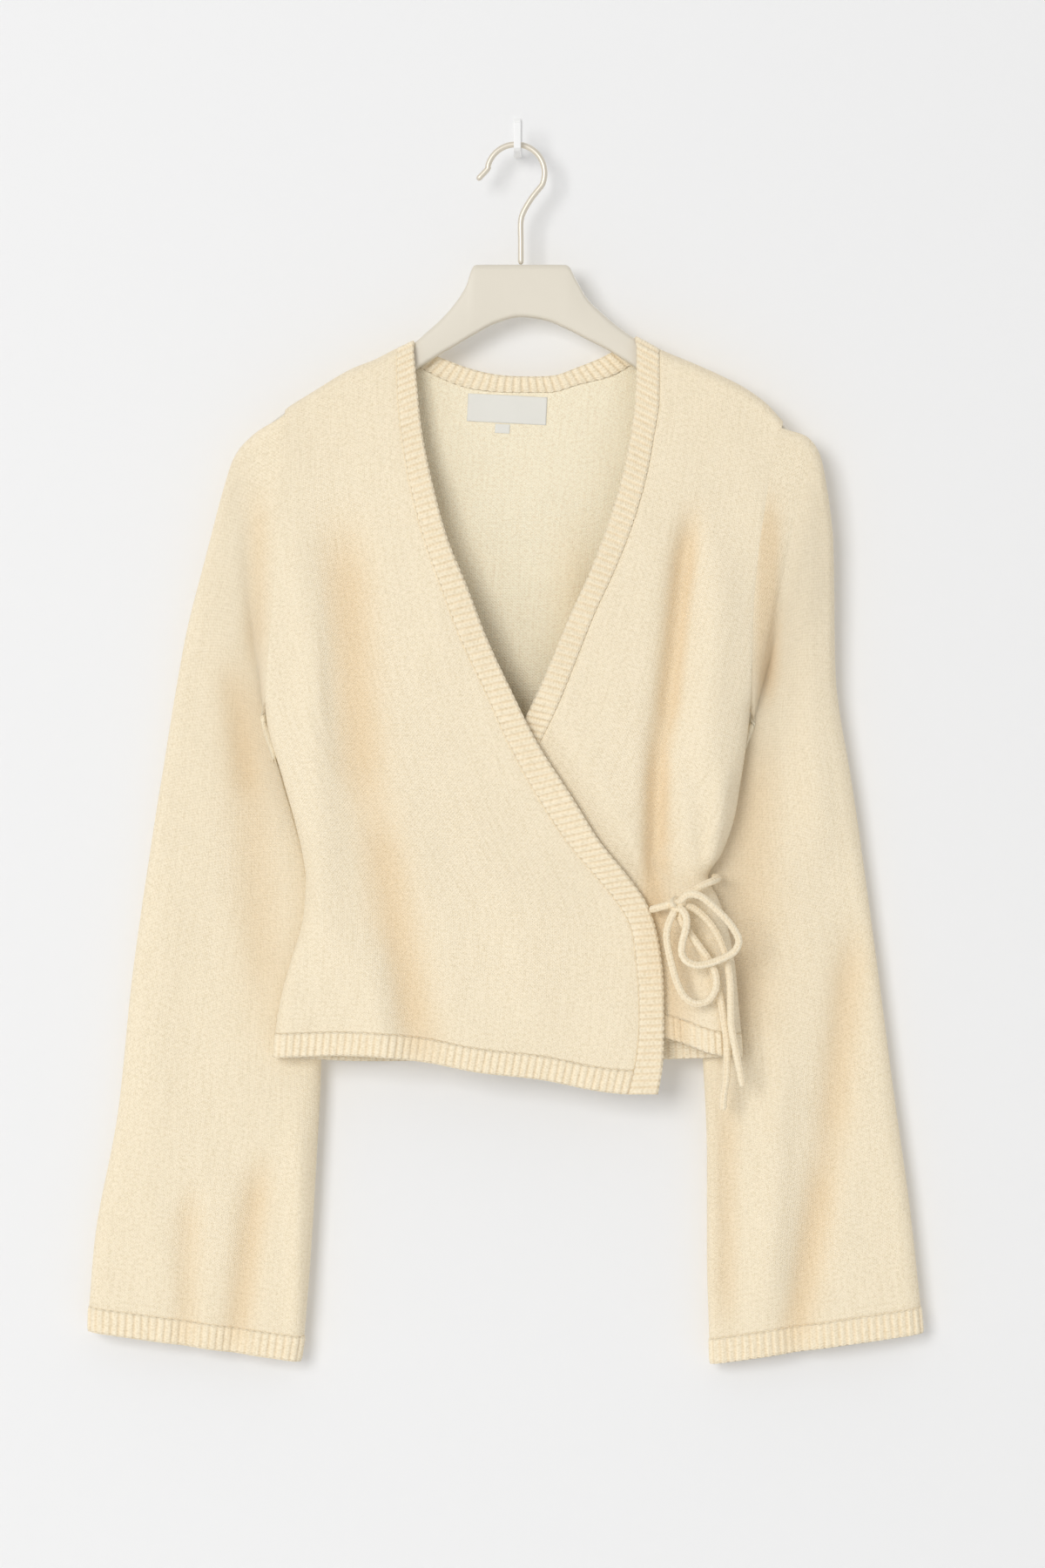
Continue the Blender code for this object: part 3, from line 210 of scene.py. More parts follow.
# Soft folds, a row each: the x and z of the crease's top and foot, its half width and its rise
OUTER_FOLDS = (
    (-0.120, -0.240, -0.100, -0.480, 0.017, -0.0045),
    (-0.101, -0.430, -0.061, -0.650, 0.016, -0.0045),
    (-0.152, -0.240, -0.131, -0.470, 0.011, 0.0025),
    (-0.131, -0.430, -0.117, -0.590, 0.012, 0.0030),
    (-0.103, -0.530, -0.085, -0.650, 0.012, 0.0030),
    (-0.010, -0.480, 0.020, -0.620, 0.025, 0.0020),
    (-0.060, -0.200, -0.045, -0.380, 0.020, 0.0020),
    (-0.137, -0.290, -0.131, -0.600, 0.008, 0.0026),
)
UNDER_FOLDS = (
    (0.119, -0.240, 0.097, -0.430, 0.009, -0.0065),
    (0.096, -0.390, 0.091, -0.560, 0.008, -0.0075),
    (0.137, -0.260, 0.127, -0.500, 0.016, 0.0060),
    (0.110, -0.430, 0.121, -0.515, 0.006, 0.0030),
    (0.142, -0.420, 0.128, -0.515, 0.005, 0.0045),
    (0.108, -0.520, 0.108, -0.640, 0.009, -0.0040),
    (0.126, -0.510, 0.134, -0.640, 0.009, 0.0035),
)
BACK_FOLDS = (
    (-0.060, -0.230, -0.045, -0.520, 0.016, -0.0030),
    (-0.015, -0.300, -0.005, -0.660, 0.018, 0.0030),
    (0.040, -0.240, 0.036, -0.500, 0.015, -0.0025),
    (0.080, -0.330, 0.072, -0.660, 0.013, 0.0035),
    (-0.085, -0.400, -0.074, -0.660, 0.012, 0.0030),
)

# Sleeves, one row per ring from the armhole to the cuff seam
RING_COLUMNS = ("outer_x", "outer_z", "outer_y", "inner_x", "inner_z", "inner_y", "half_depth")
LEFT_SLEEVE = (
    (-0.1575, -0.1871, -0.0250, -0.1710, -0.3893, -0.0300, 0.0100),
    (-0.1765, -0.2024, -0.0250, -0.1722, -0.3960, -0.0235, 0.0100),
    (-0.1900, -0.2165, -0.0248, -0.1710, -0.4060, -0.0185, 0.0098),
    (-0.1982, -0.2376, -0.0240, -0.1670, -0.4190, -0.0165, 0.0095),
    (-0.2118, -0.2882, -0.0215, -0.1585, -0.4420, -0.0150, 0.0088),
    (-0.2241, -0.3353, -0.0190, -0.1490, -0.4700, -0.0145, 0.0086),
    (-0.2329, -0.3824, -0.0170, -0.1400, -0.5000, -0.0145, 0.0085),
    (-0.2406, -0.4294, -0.0155, -0.1350, -0.5380, -0.0145, 0.0085),
    (-0.2482, -0.4765, -0.0150, -0.1328, -0.5800, -0.0145, 0.0085),
    (-0.2618, -0.5706, -0.0145, -0.1337, -0.6400, -0.0145, 0.0085),
    (-0.2718, -0.6647, -0.0145, -0.1368, -0.7000, -0.0145, 0.0088),
    (-0.2860, -0.7400, -0.0145, -0.1408, -0.7650, -0.0145, 0.0092),
    (-0.2914, -0.7965, -0.0145, -0.1450, -0.8170, -0.0145, 0.0095),
)
RIGHT_SLEEVE = (
    (0.1819, -0.1990, -0.0250, 0.1581, -0.3893, -0.0300, 0.0100),
    (0.1960, -0.2056, -0.0250, 0.1592, -0.3960, -0.0235, 0.0100),
    (0.2047, -0.2171, -0.0248, 0.1580, -0.4060, -0.0185, 0.0098),
    (0.2095, -0.2380, -0.0240, 0.1530, -0.4190, -0.0165, 0.0095),
    (0.2141, -0.2718, -0.0215, 0.1440, -0.4420, -0.0150, 0.0088),
    (0.2153, -0.3106, -0.0190, 0.1330, -0.4700, -0.0145, 0.0086),
    (0.2165, -0.3694, -0.0170, 0.1230, -0.5000, -0.0145, 0.0085),
    (0.2276, -0.4412, -0.0155, 0.1200, -0.5380, -0.0145, 0.0085),
    (0.2340, -0.4850, -0.0150, 0.1215, -0.5800, -0.0145, 0.0085),
    (0.2441, -0.5588, -0.0145, 0.1262, -0.6300, -0.0145, 0.0085),
    (0.2560, -0.6500, -0.0145, 0.1290, -0.6950, -0.0145, 0.0088),
    (0.2665, -0.7250, -0.0145, 0.1290, -0.7600, -0.0145, 0.0092),
    (0.2745, -0.7970, -0.0145, 0.1306, -0.8185, -0.0145, 0.0095),
)

# Lower edges of the cuffs: x and z at the outer edge, then at the inner edge
LEFT_CUFF = (-0.2918, -0.8129, -0.1476, -0.8335)
RIGHT_CUFF = (0.2759, -0.8141, 0.1312, -0.8353)

# Folds of the sleeves, in the same form as the body's
LEFT_SLEEVE_FOLDS = (
    (-0.174, -0.230, -0.176, -0.370, 0.008, -0.0030),
    (-0.196, -0.350, -0.181, -0.460, 0.010, -0.0020),
    (-0.150, -0.640, -0.147, -0.840, 0.008, 0.0025),
    (-0.172, -0.680, -0.194, -0.840, 0.010, -0.0040),
    (-0.222, -0.700, -0.226, -0.840, 0.009, -0.0025),
    (-0.235, -0.480, -0.256, -0.760, 0.016, 0.0020),
    (-0.186, -0.330, -0.170, -0.620, 0.015, -0.0026),
)
RIGHT_SLEEVE_FOLDS = (
    (0.171, -0.230, 0.167, -0.400, 0.008, -0.0060),
    (0.198, -0.250, 0.204, -0.520, 0.015, 0.0035),
    (0.230, -0.520, 0.210, -0.710, 0.012, -0.0040),
    (0.214, -0.670, 0.184, -0.840, 0.012, -0.0045),
    (0.181, -0.600, 0.167, -0.820, 0.013, 0.0040),
    (0.142, -0.620, 0.142, -0.830, 0.009, -0.0030),
    (0.163, -0.380, 0.150, -0.640, 0.020, -0.0030),
)

# Label and size tab on the back neck: middle x, top z, width, height
LABEL = (-0.0065, -0.1770, 0.054, 0.019)
LABEL_TILT = 0.052
SIZE_TAB = (-0.0100, -0.1966, 0.010, 0.0062)
LABEL_THICKNESS = 0.0006

# Wire hook of the hanger
HOOK_CENTRE = (-0.0010, -0.0273)
HOOK_RADIUS = 0.0195
HOOK_STEM = ((0.0024, -0.0890), (0.0024, -0.0740), (0.0024, -0.0600), (0.0045, -0.0530),
             (0.0095, -0.0445), (0.0150, -0.0375))
HOOK_TIP = (-0.0271, -0.0318)

# Wall hook: side profile as (y, z), extruded along X
WALL_HOOK_WIDTH = 0.0048
WALL_HOOK_PROFILE = (
    (0.0000, 0.0120), (0.0000, -0.0115), (-0.0020, -0.0135), (-0.0320, -0.0135), (-0.0345, -0.0115),
    (-0.0345, 0.0060), (-0.0315, 0.0060), (-0.0315, -0.0105), (-0.0020, -0.0105), (-0.0020, 0.0120),
    (-0.0012, 0.0141),
)

# Tie: a knot, and a row for each strand with the way it leaves or enters the knot, as (x, y, z)
KNOT_CENTRE = (0.1071, -0.0580, -0.5218)
KNOT_RADII = (0.0054, 0.0052, 0.0050)
KNOT_GAP = 0.0009         # from the knot's mean surface to a strand's end, past its wraps
TIES = (
    ("tie_front_lead", None, (
        (0.0893, -0.0466, -0.5256), (0.0915, -0.0480, -0.5252), (0.0948, -0.0520, -0.5242),
        (0.0982, -0.0555, -0.5232)), (-1.00, 0.10, -0.10)),
    ("tie_side_lead", None, (
        (0.1314, -0.0313, -0.5042), (0.1335, -0.0318, -0.5042), (0.1350, -0.0345, -0.5045),
        (0.1351, -0.0400, -0.5050), (0.1330, -0.0460, -0.5060), (0.1290, -0.0510, -0.5073),
        (0.1230, -0.0538, -0.5098), (0.1165, -0.0545, -0.5137)), (0.62, 0.50, 0.60)),
    ("tie_right_loop", (0.55, -0.62, 0.56), (
        (0.1135, -0.0640, -0.5154), (0.1185, -0.0650, -0.5150), (0.1245, -0.0650, -0.5175),
        (0.1341, -0.0645, -0.5260), (0.1418, -0.0640, -0.5341), (0.1468, -0.0640, -0.5418),
        (0.1480, -0.0640, -0.5471), (0.1453, -0.0640, -0.5529), (0.1388, -0.0640, -0.5570),
        (0.1300, -0.0640, -0.5605), (0.1206, -0.0640, -0.5622), (0.1135, -0.0640, -0.5598),
        (0.1100, -0.0640, -0.5541), (0.1104, -0.0645, -0.5471), (0.1122, -0.0652, -0.5400),
        (0.1132, -0.0658, -0.5335), (0.1122, -0.0652, -0.5282)), (0.42, -0.75, -0.50)),
    ("tie_left_loop", (-0.35, -0.45, -0.82), (
        (0.1028, -0.0610, -0.5312), (0.1004, -0.0600, -0.5390), (0.1006, -0.0585, -0.5482),
        (0.1038, -0.0580, -0.5629), (0.1071, -0.0580, -0.5741), (0.1116, -0.0580, -0.5829),
        (0.1176, -0.0580, -0.5876), (0.1229, -0.0580, -0.5880), (0.1288, -0.0580, -0.5853),
        (0.1330, -0.0580, -0.5775), (0.1325, -0.0580, -0.5680), (0.1280, -0.0578, -0.5585),
        (0.1205, -0.0576, -0.5480), (0.1135, -0.0574, -0.5385), (0.1098, -0.0574, -0.5320)),
        (0.35, 0.10, -0.93)),
    ("tie_side_tail", (0.93, 0.30, -0.20), (
        (0.1185, -0.0545, -0.5248), (0.1270, -0.0535, -0.5320), (0.1345, -0.0535, -0.5430),
        (0.1398, -0.0537, -0.5570), (0.1426, -0.0540, -0.5720), (0.1432, -0.0540, -0.5880),
        (0.1436, -0.0540, -0.6030), (0.1462, -0.0536, -0.6182), (0.1488, -0.0525, -0.6306),
        (0.1515, -0.0510, -0.6441)), None),
    ("tie_front_tail", (-0.10, 0.85, -0.50), (
        (0.1075, -0.0503, -0.5292), (0.1120, -0.0500, -0.5370), (0.1200, -0.0500, -0.5480),
        (0.1275, -0.0502, -0.5600), (0.1335, -0.0502, -0.5740), (0.1366, -0.0500, -0.5870),
        (0.1388, -0.0490, -0.6000), (0.1408, -0.0482, -0.6130), (0.1410, -0.0474, -0.6260),
        (0.1405, -0.0466, -0.6400), (0.1390, -0.0460, -0.6500), (0.1384, -0.0455, -0.6606)), None),
)

# Ribs along each strip
RIBS = {"outer_front": 49, "under_front": 49, "back": 64, "outer_band": 118, "under_band": 108,
        "back_neck": 33, "cuff": 60}


def column(table, columns, name):
    return np.array([row[columns.index(name)] for row in table], float)


def smooth(keys, values, at):
    """Smooth curve through (keys, values) that doesn't overshoot; the keys may rise or fall."""
    if keys[0] > keys[-1]:
        keys, values = keys[::-1], values[::-1]
    at = np.clip(at, keys[0], keys[-1])
    step = np.diff(keys)
    slope = np.diff(values) / step
    tangent = np.zeros(len(keys))
    tangent[0], tangent[-1] = slope[0], slope[-1]
    same_way = slope[:-1] * slope[1:] > 0
    mean = (slope[:-1] * step[1:] + slope[1:] * step[:-1]) / (step[:-1] + step[1:])
    limit = 3 * np.minimum(abs(slope[:-1]), abs(slope[1:]))
    tangent[1:-1] = np.where(same_way, np.sign(mean) * np.minimum(abs(mean), limit), 0)
    i = np.clip(np.searchsorted(keys, at, side="right") - 1, 0, len(keys) - 2)
    h = step[i]
    t = (at - keys[i]) / h
    return ((2 * t**3 - 3 * t**2 + 1) * values[i] + (t**3 - 2 * t**2 + t) * h * tangent[i]
            + (3 * t**2 - 2 * t**3) * values[i + 1] + (t**3 - t**2) * h * tangent[i + 1])


def look_up(table, columns, key, name, at):
    return smooth(column(table, columns, key), column(table, columns, name), np.asarray(at, float))


def ease(value, low, high):
    t = np.clip((value - low) / (high - low), 0, 1)
    return t * t * (3 - 2 * t)


def turn(distance, radius):
    """Quarter round profile: 0 at a folded edge, 1 from a radius inside it."""
    t = np.clip(distance / radius, 0, 1)
    return np.sqrt(np.clip(1 - (1 - t) ** 2, 0, 1))


def crest(x):
    """Height of the cloth's outer face over the hanger's top edge."""
    return look_up(HANGER, HANGER_COLUMNS, "x", "top", x) + HANGER_CLEARANCE


def left_edge(z):
    return look_up(BODY_EDGES, EDGE_COLUMNS, "z", "left", z)


def right_edge(z):
    return look_up(BODY_EDGES, EDGE_COLUMNS, "z", "right", z)


def depth_value(name, z):
    return look_up(DEPTHS, DEPTH_COLUMNS, "z", name, z)


def fold_rise(folds, x, z):
    """Sum of the soft troughs and ridges of a fold table at (x, z)."""
    total = np.zeros(np.broadcast(x, z).shape)
    for x_top, z_top, x_low, z_low, width, rise in folds:
        t = (z_top - z) / (z_top - z_low)
        fade = ease(t, 0, 0.3) * (1 - ease(t, 0.75, 1.0))
        x_line = x_top + (x_low - x_top) * t
        total = total + rise * fade * np.exp(-((x - x_line) / width) ** 2)
    return FOLD_GAIN * total


def body_depth(x, z, layer):
    """Distance of a body layer's outer face from the seam plane."""
    side_name, mid_name = ("back_side", "back_mid") if layer == "back" else ("front_side", "front_mid")
    distance = np.minimum(x - left_edge(z), right_edge(z) - x)
    distance = np.maximum(distance, 0)
    side = depth_value(side_name, z)
    mid = depth_value(mid_name, z)
    ramp = ease(distance, *(BACK_RAMP if layer == "back" else FRONT_RAMP))
    open_arm = turn(z - UNDERARM_Z, ARM_OPENING) * (z > UNDERARM_Z)
    closed = turn(distance, EDGE_RADIUS)
    near_edge = side * (open_arm + (1 - open_arm) * closed)
    depth = near_edge + (mid - side) * ramp
    if layer == "outer":
        depth = depth + fold_rise(OUTER_FOLDS, x, z) * closed
    elif layer == "under":
        past_edge = x - look_up(OUTER_BAND, BAND_COLUMNS, "z", "edge", z)
        under_outer = 1 - ease(past_edge, *TUCK_REACH)
        own_folds = fold_rise(UNDER_FOLDS, x, z) * (1 - under_outer)
        shared_folds = fold_rise(OUTER_FOLDS, x, z) * under_outer
        depth = depth + (own_folds + shared_folds - TUCK * under_outer) * closed
    else:
        depth = depth + fold_rise(BACK_FOLDS, x, z) * ramp * ease(-z, *BACK_FOLD_START)
    depth = depth + ripple(x, z, len(layer)) * closed
    return depth * turn(crest(x) - z, CREST_RADIUS)


def body_y(x, z, layer):
    side = 1 if layer == "back" else -1
    return depth_value("seam_y", z) + side * (body_depth(x, z, layer) + HALF_GAP)


def unit(vectors):
    return vectors / np.maximum(np.linalg.norm(vectors, axis=-1, keepdims=True), 1e-12)


def body_surface(x, z, layer):
    """Points and outward normals of a body layer at (x, z)."""
    step = 0.0004
    y = body_y(x, z, layer)
    slope_x = (body_y(x + step, z, layer) - body_y(x - step, z, layer)) / (2 * step)
    slope_z = (body_y(x, z + step, layer) - body_y(x, z - step, layer)) / (2 * step)
    normal = unit(np.stack([slope_x, -np.ones_like(y), slope_z], axis=-1))
    if layer == "back":
        normal = -normal
    below = ease(UNDERARM_Z + 0.004 - z, 0.0, 0.004)
    for edge, way in ((x - left_edge(z), -1), (right_edge(z) - x, 1)):
        at_edge = edge < 0.0006
        level, up = normal[..., 1] * (1 - below), normal[..., 2] * (1 - below)
        seam_normal = np.stack([way * below, level, up], axis=-1)
        normal = np.where(at_edge[..., None], unit(seam_normal + [0, 0, 1e-9]), normal)
    at_crest = (crest(x) - z) < 0.0005
    up = np.zeros(normal.shape) + [0, 0, 1]
    normal = np.where(at_crest[..., None], up, normal)
    return np.stack([x, y, z], axis=-1), normal


def panel_grid(z_left, z_right, x_left, x_right, top, bottom, shares):
    """Grid of (x, z), in rows from left to right. The first and last follow two curves."""
    v = (z_left - z_left[0]) / (z_left[-1] - z_left[0])
    x_start = x_left(z_left)[:, None]
    x_end = x_right(z_right)[:, None]
    u = np.asarray(shares)[None, :]
    x = x_start + (x_end - x_start) * u
    z = z_left[:, None] + (z_right - z_left)[:, None] * u
    top_bulge = top(x[0]) - z[0]
    bottom_bulge = bottom(x[-1]) - z[-1]
    z = z + (1 - v[:, None]) ** 2 * top_bulge[None, :] + v[:, None] ** 2 * bottom_bulge[None, :]
    return x, z


def hem_line(table, lift=0.0):
    xs = column(table, HEM_COLUMNS, "x")
    zs = column(table, HEM_COLUMNS, "z")
    return lambda x: smooth(xs, zs, x) + lift


def band_edge(table, name, shift=0.0):
    return lambda z: look_up(table, BAND_COLUMNS, "z", name, z) + shift


def run_length(points):
    """Distance along a line of points, from its start."""
    return np.concatenate([[0], np.cumsum(np.linalg.norm(np.diff(points, axis=0), axis=1))])


def curve_line(xs, zs):
    """(x, z) at a share of the length of a smooth curve through the points."""
    length = np.concatenate([[0], np.cumsum(np.hypot(np.diff(xs), np.diff(zs)))])
    return lambda share: (smooth(length, xs, share * length[-1]), smooth(length, zs, share * length[-1]))


def straight_hem(table, lift, start, end):
    """Hem line from x = start to x = end, lifted above the hem's lower edge."""
    line = hem_line(table, lift)

    def at(share):
        x = start + (end - start) * share
        return x, line(x)
    return at


def hem_ends(table, left, right):
    """Left and right ends of a hem's upper and lower edges."""
    low_left, low_right = table[0][1], table[-1][1]
    lifts = (HEM_HEIGHT, 0.0)
    return tuple((float(left(low_left + lift)), float(right(low_right + lift))) for lift in lifts)


def sleeve_surface(rings, side, row, around, folds):
    """Outer points and normals of a sleeve. row is 0 at the armhole and 1 at the cuff seam.

    around runs from 0 to 1 over the front from the outer edge to the inner edge, and from 1 to 2 back
    over the rear.
    """
    key = np.linspace(0, 1, len(rings))
    value = {name: smooth(key, column(rings, RING_COLUMNS, name), row) for name in RING_COLUMNS}
    front = around <= 1
    w = np.where(front, around, 2 - around)
    x = value["outer_x"] + (value["inner_x"] - value["outer_x"]) * w
    z = value["outer_z"] + (value["inner_z"] - value["outer_z"]) * w
    y_mid = value["outer_y"] + (value["inner_y"] - value["outer_y"]) * ease(w, 0.15, 1.0)
    length = np.hypot(value["inner_x"] - value["outer_x"], value["inner_z"] - value["outer_z"])
    rounded = turn(w * length, SLEEVE_RADIUS) * turn((1 - w) * length, SLEEVE_RADIUS)
    half = value["half_depth"] * rounded * (0.85 + 0.15 * np.sin(np.pi * w))
    y = y_mid + np.where(front, -half, half)
    fade = ease(row, 0.04, 0.25) * rounded
    y = y - (np.where(front, 1.0, 0.5) * fold_rise(folds, x, z) + ripple(x, z, side)) * fade
    edge = left_edge if side < 0 else right_edge
    seam_x = edge(z) + side * SLEEVE_START[side]
    layer_depth = np.where(front, body_depth(edge(z), z, "outer"), body_depth(edge(z), z, "back"))
    seam_y = depth_value("seam_y", z) + np.where(front, -1, 1) * layer_depth * (w > 0) * (w < 1)
    keep = 1 - ease(row, 0.0, 0.11)
    x = x + (seam_x - x) * keep ** 2
    y = y + (seam_y - y) * keep
    return np.stack([x, y, z], axis=-1)


def grid_normals(points):
    """Outward normals of a ring grid from its neighbours."""
    down = np.gradient(points, axis=0)
    across = np.roll(points, -1, axis=1) - np.roll(points, 1, axis=1)
    return unit(np.cross(down, across))


def cuff_ring(rings, cuff, side, around, folds, level):
    """Ring of the cuff: level 0 at its seam, 1 at its lower edge."""
    base = sleeve_surface(rings, side, np.ones((1, 1)), around[None, :], folds)[0]
    w = np.where(around <= 1, around, 2 - around)
    low_x = cuff[0] + (cuff[2] - cuff[0]) * w
    low_z = cuff[1] + (cuff[3] - cuff[1]) * w
    gap = -TUCKED / HEM_HEIGHT
    share = gap + (1 - gap) * level
    x = base[:, 0] + (low_x - base[:, 0]) * share
    z = base[:, 2] + (low_z - base[:, 2]) * share
    return np.stack([x, base[:, 1], z], axis=-1)


def smooth_route(route, spacing):
    """Evenly spaced points on a smooth curve through a route's own points."""
    route = np.array(route, float)
    padded = np.vstack([2 * route[0] - route[1], route, 2 * route[-1] - route[-2]])
    fine = []
    for i in range(len(route) - 1):
        p0, p1, p2, p3 = padded[i:i + 4]
        for t in np.linspace(0, 1, 12, endpoint=False):
            fine.append(0.5 * (2 * p1 + (p2 - p0) * t + (2 * p0 - 5 * p1 + 4 * p2 - p3) * t**2
                               + (3 * p1 - p0 - 3 * p2 + p3) * t**3))
    fine = np.array(fine + [route[-1]])
    run = run_length(fine)
    count = max(3, int(round(run[-1] / spacing)) + 1)
    at = np.linspace(0, run[-1], count)
    return np.stack([np.interp(at, run, fine[:, k]) for k in range(3)], axis=-1)


def knot_port(way):
    """Where a strand that leaves the knot in a direction starts, just clear of the knot."""
    way = unit(np.array(way))
    reach = 1 / np.linalg.norm(way / np.array(KNOT_RADII)) + KNOT_GAP
    return tuple(np.array(KNOT_CENTRE) + way * reach)


# Fine surfaces: spacing of their rows and columns, and how the cloth's own small unevenness goes
FINE_STEP = 0.0026
SLEEVE_ROWS = 225
SLEEVE_COLUMNS = 62       # to each of its two faces
CUFF_SAMPLES = 1601
PATCH_COLUMNS = 61
PATCH_ROWS = 25
PLAIN_EDGE_STEPS = (0, 0.0010, 0.0026)
RIPPLE = 0.00032
RIPPLE_WAVES = (
    (61, 23, 0.4), (-38, 52, 1.7), (97, -31, 2.9), (-84, -66, 0.9), (143, 47, 4.1), (-29, 118, 5.2),
)
CREST_STEPS = (0, 0.0002, 0.0006, 0.0012, 0.0021, 0.0033, 0.0049, 0.0068, 0.0090, 0.0115)
EDGE_STEPS = (0, 0.0005, 0.0018, 0.0040, 0.0070, 0.0108, 0.0155, 0.0210, 0.0275, 0.0350, 0.0435)
PAINTED_SHADE_FULL_DEPTH = 0.0060        # depth of a trough at which its painted shade is darkest
SEAM_ROLL = 0.0004        # how far a panel's outer face dips at its own seams
SEAM_ROLL_WIDTH = 0.0022
RIB_END = 0.0016          # distance from a strip's edges over which its ribs grow to their height
RIB_BACK = 0.3            # how deep the ribs look on the other face, as a share of their rise
COLUMNS_PER_RIB = 8
STITCH_WALE = 0.0022
STITCH_COURSE = 0.0018
RIB_PITCH = 0.0049        # one rib's share of the strip's stitch map
LAYER_FOLDS = {"outer": OUTER_FOLDS, "under": UNDER_FOLDS, "back": BACK_FOLDS}

# Tie and wire
CORD_STEP = 0.0008
CORD_SIDES = 20
CORD_SWELL = 0.045        # how much a tie swells and shrinks with its stitches, and over what length
CORD_STITCH = 0.0039
CORD_END = (0.55, 0.85, 0.97)
KNOT_WRAP = 0.0021
WIRE_STEP = 0.0010
WIRE_SIDES = 24
WIRE_END = (0.5, 0.85)
HOOK_ARC = (-24, 172)     # degrees
TIE_ROUTES = {name: (leaves, route, enters) for name, leaves, route, enters in TIES}
# Each tie: its strands from its exit to its bare end, and the spots inside the knot between two strands
TIE_PATHS = (
    ("tie_of_the_front", ("tie_front_lead", "tie_right_loop", "tie_front_tail"),
     (((-0.0020, -0.0004, 0.0003), (0.0006, -0.0014, 0.0010)),
      ((0.0012, -0.0016, -0.0004), (-0.0003, 0.0014, 0.0)))),
    ("tie_of_the_side", ("tie_side_lead", "tie_left_loop", "tie_side_tail"),
     (((0.0010, 0.0008, 0.0016), (-0.0008, -0.0006, -0.0012)),
      ((0.0006, 0.0006, -0.0014), (0.0014, 0.0010, 0.0)))),
)

# Nap: how many fibres stand off the knit, their longest length each way, and their width in metres
NAPS = (("nap_short", 20000, 0.0034), ("nap_long", 12000, 0.0060))
FIBRE_SHORTEST = 0.0012
FIBRE_WIDTH = 0.00009
FIBRE_ROOT = 0.0002       # how deep its root sits in the cloth
FIBRE_DROOP = (0, 0, -0.00035)
FIBRE_RINGS = 4


def ripple(x, z, phase):
    """Small unevenness of hung knitwear at (x, z)."""
    total = np.zeros(np.broadcast(x, z).shape)
    for across, down, start in RIPPLE_WAVES:
        total = total + np.sin(across * x + down * z + start + phase)
    return RIPPLE * total / 2


def refine_pair(first, second, step):
    """Two lists of row heights with more rows put in, none further apart than the step."""
    gap = np.maximum(abs(np.diff(first)), abs(np.diff(second)))
    counts = np.maximum(1, np.ceil(gap / step)).astype(int)
    places = np.concatenate([[0.0]] + [i + (np.arange(n) + 1) / n for i, n in enumerate(counts)])
    keys = np.arange(len(first))
    return np.interp(places, keys, first), np.interp(places, keys, second)


def run_lengths(points, axis):
    """Distance along a grid's rows (axis 1) or columns (axis 0), from their start."""
    steps = np.linalg.norm(np.diff(points, axis=axis), axis=-1)
    start = np.zeros_like(np.take(steps, [0], axis=axis))
    return np.concatenate([start, np.cumsum(steps, axis=axis)], axis=axis)


def cloth_uv(points, anchor):
    """Distances along and down the cloth from one column, in metres."""
    along = run_lengths(points, 1)
    down = run_lengths(points, 0)
    along = along - along[:, [anchor]]
    return np.stack([along, -np.broadcast_to(down[:, [anchor]], along.shape)], axis=-1)


def seam_dip(points, wrap=False):
    """How far the outer face dips by a panel's sewn sides, or by a sleeve's armhole seam."""
    if wrap:
        near = run_lengths(points, 0)
    else:
        along = run_lengths(points, 1)
        near = np.minimum(along, along[:, -1:] - along)
    return SEAM_ROLL * (1 - ease(near, 0.0, SEAM_ROLL_WIDTH))


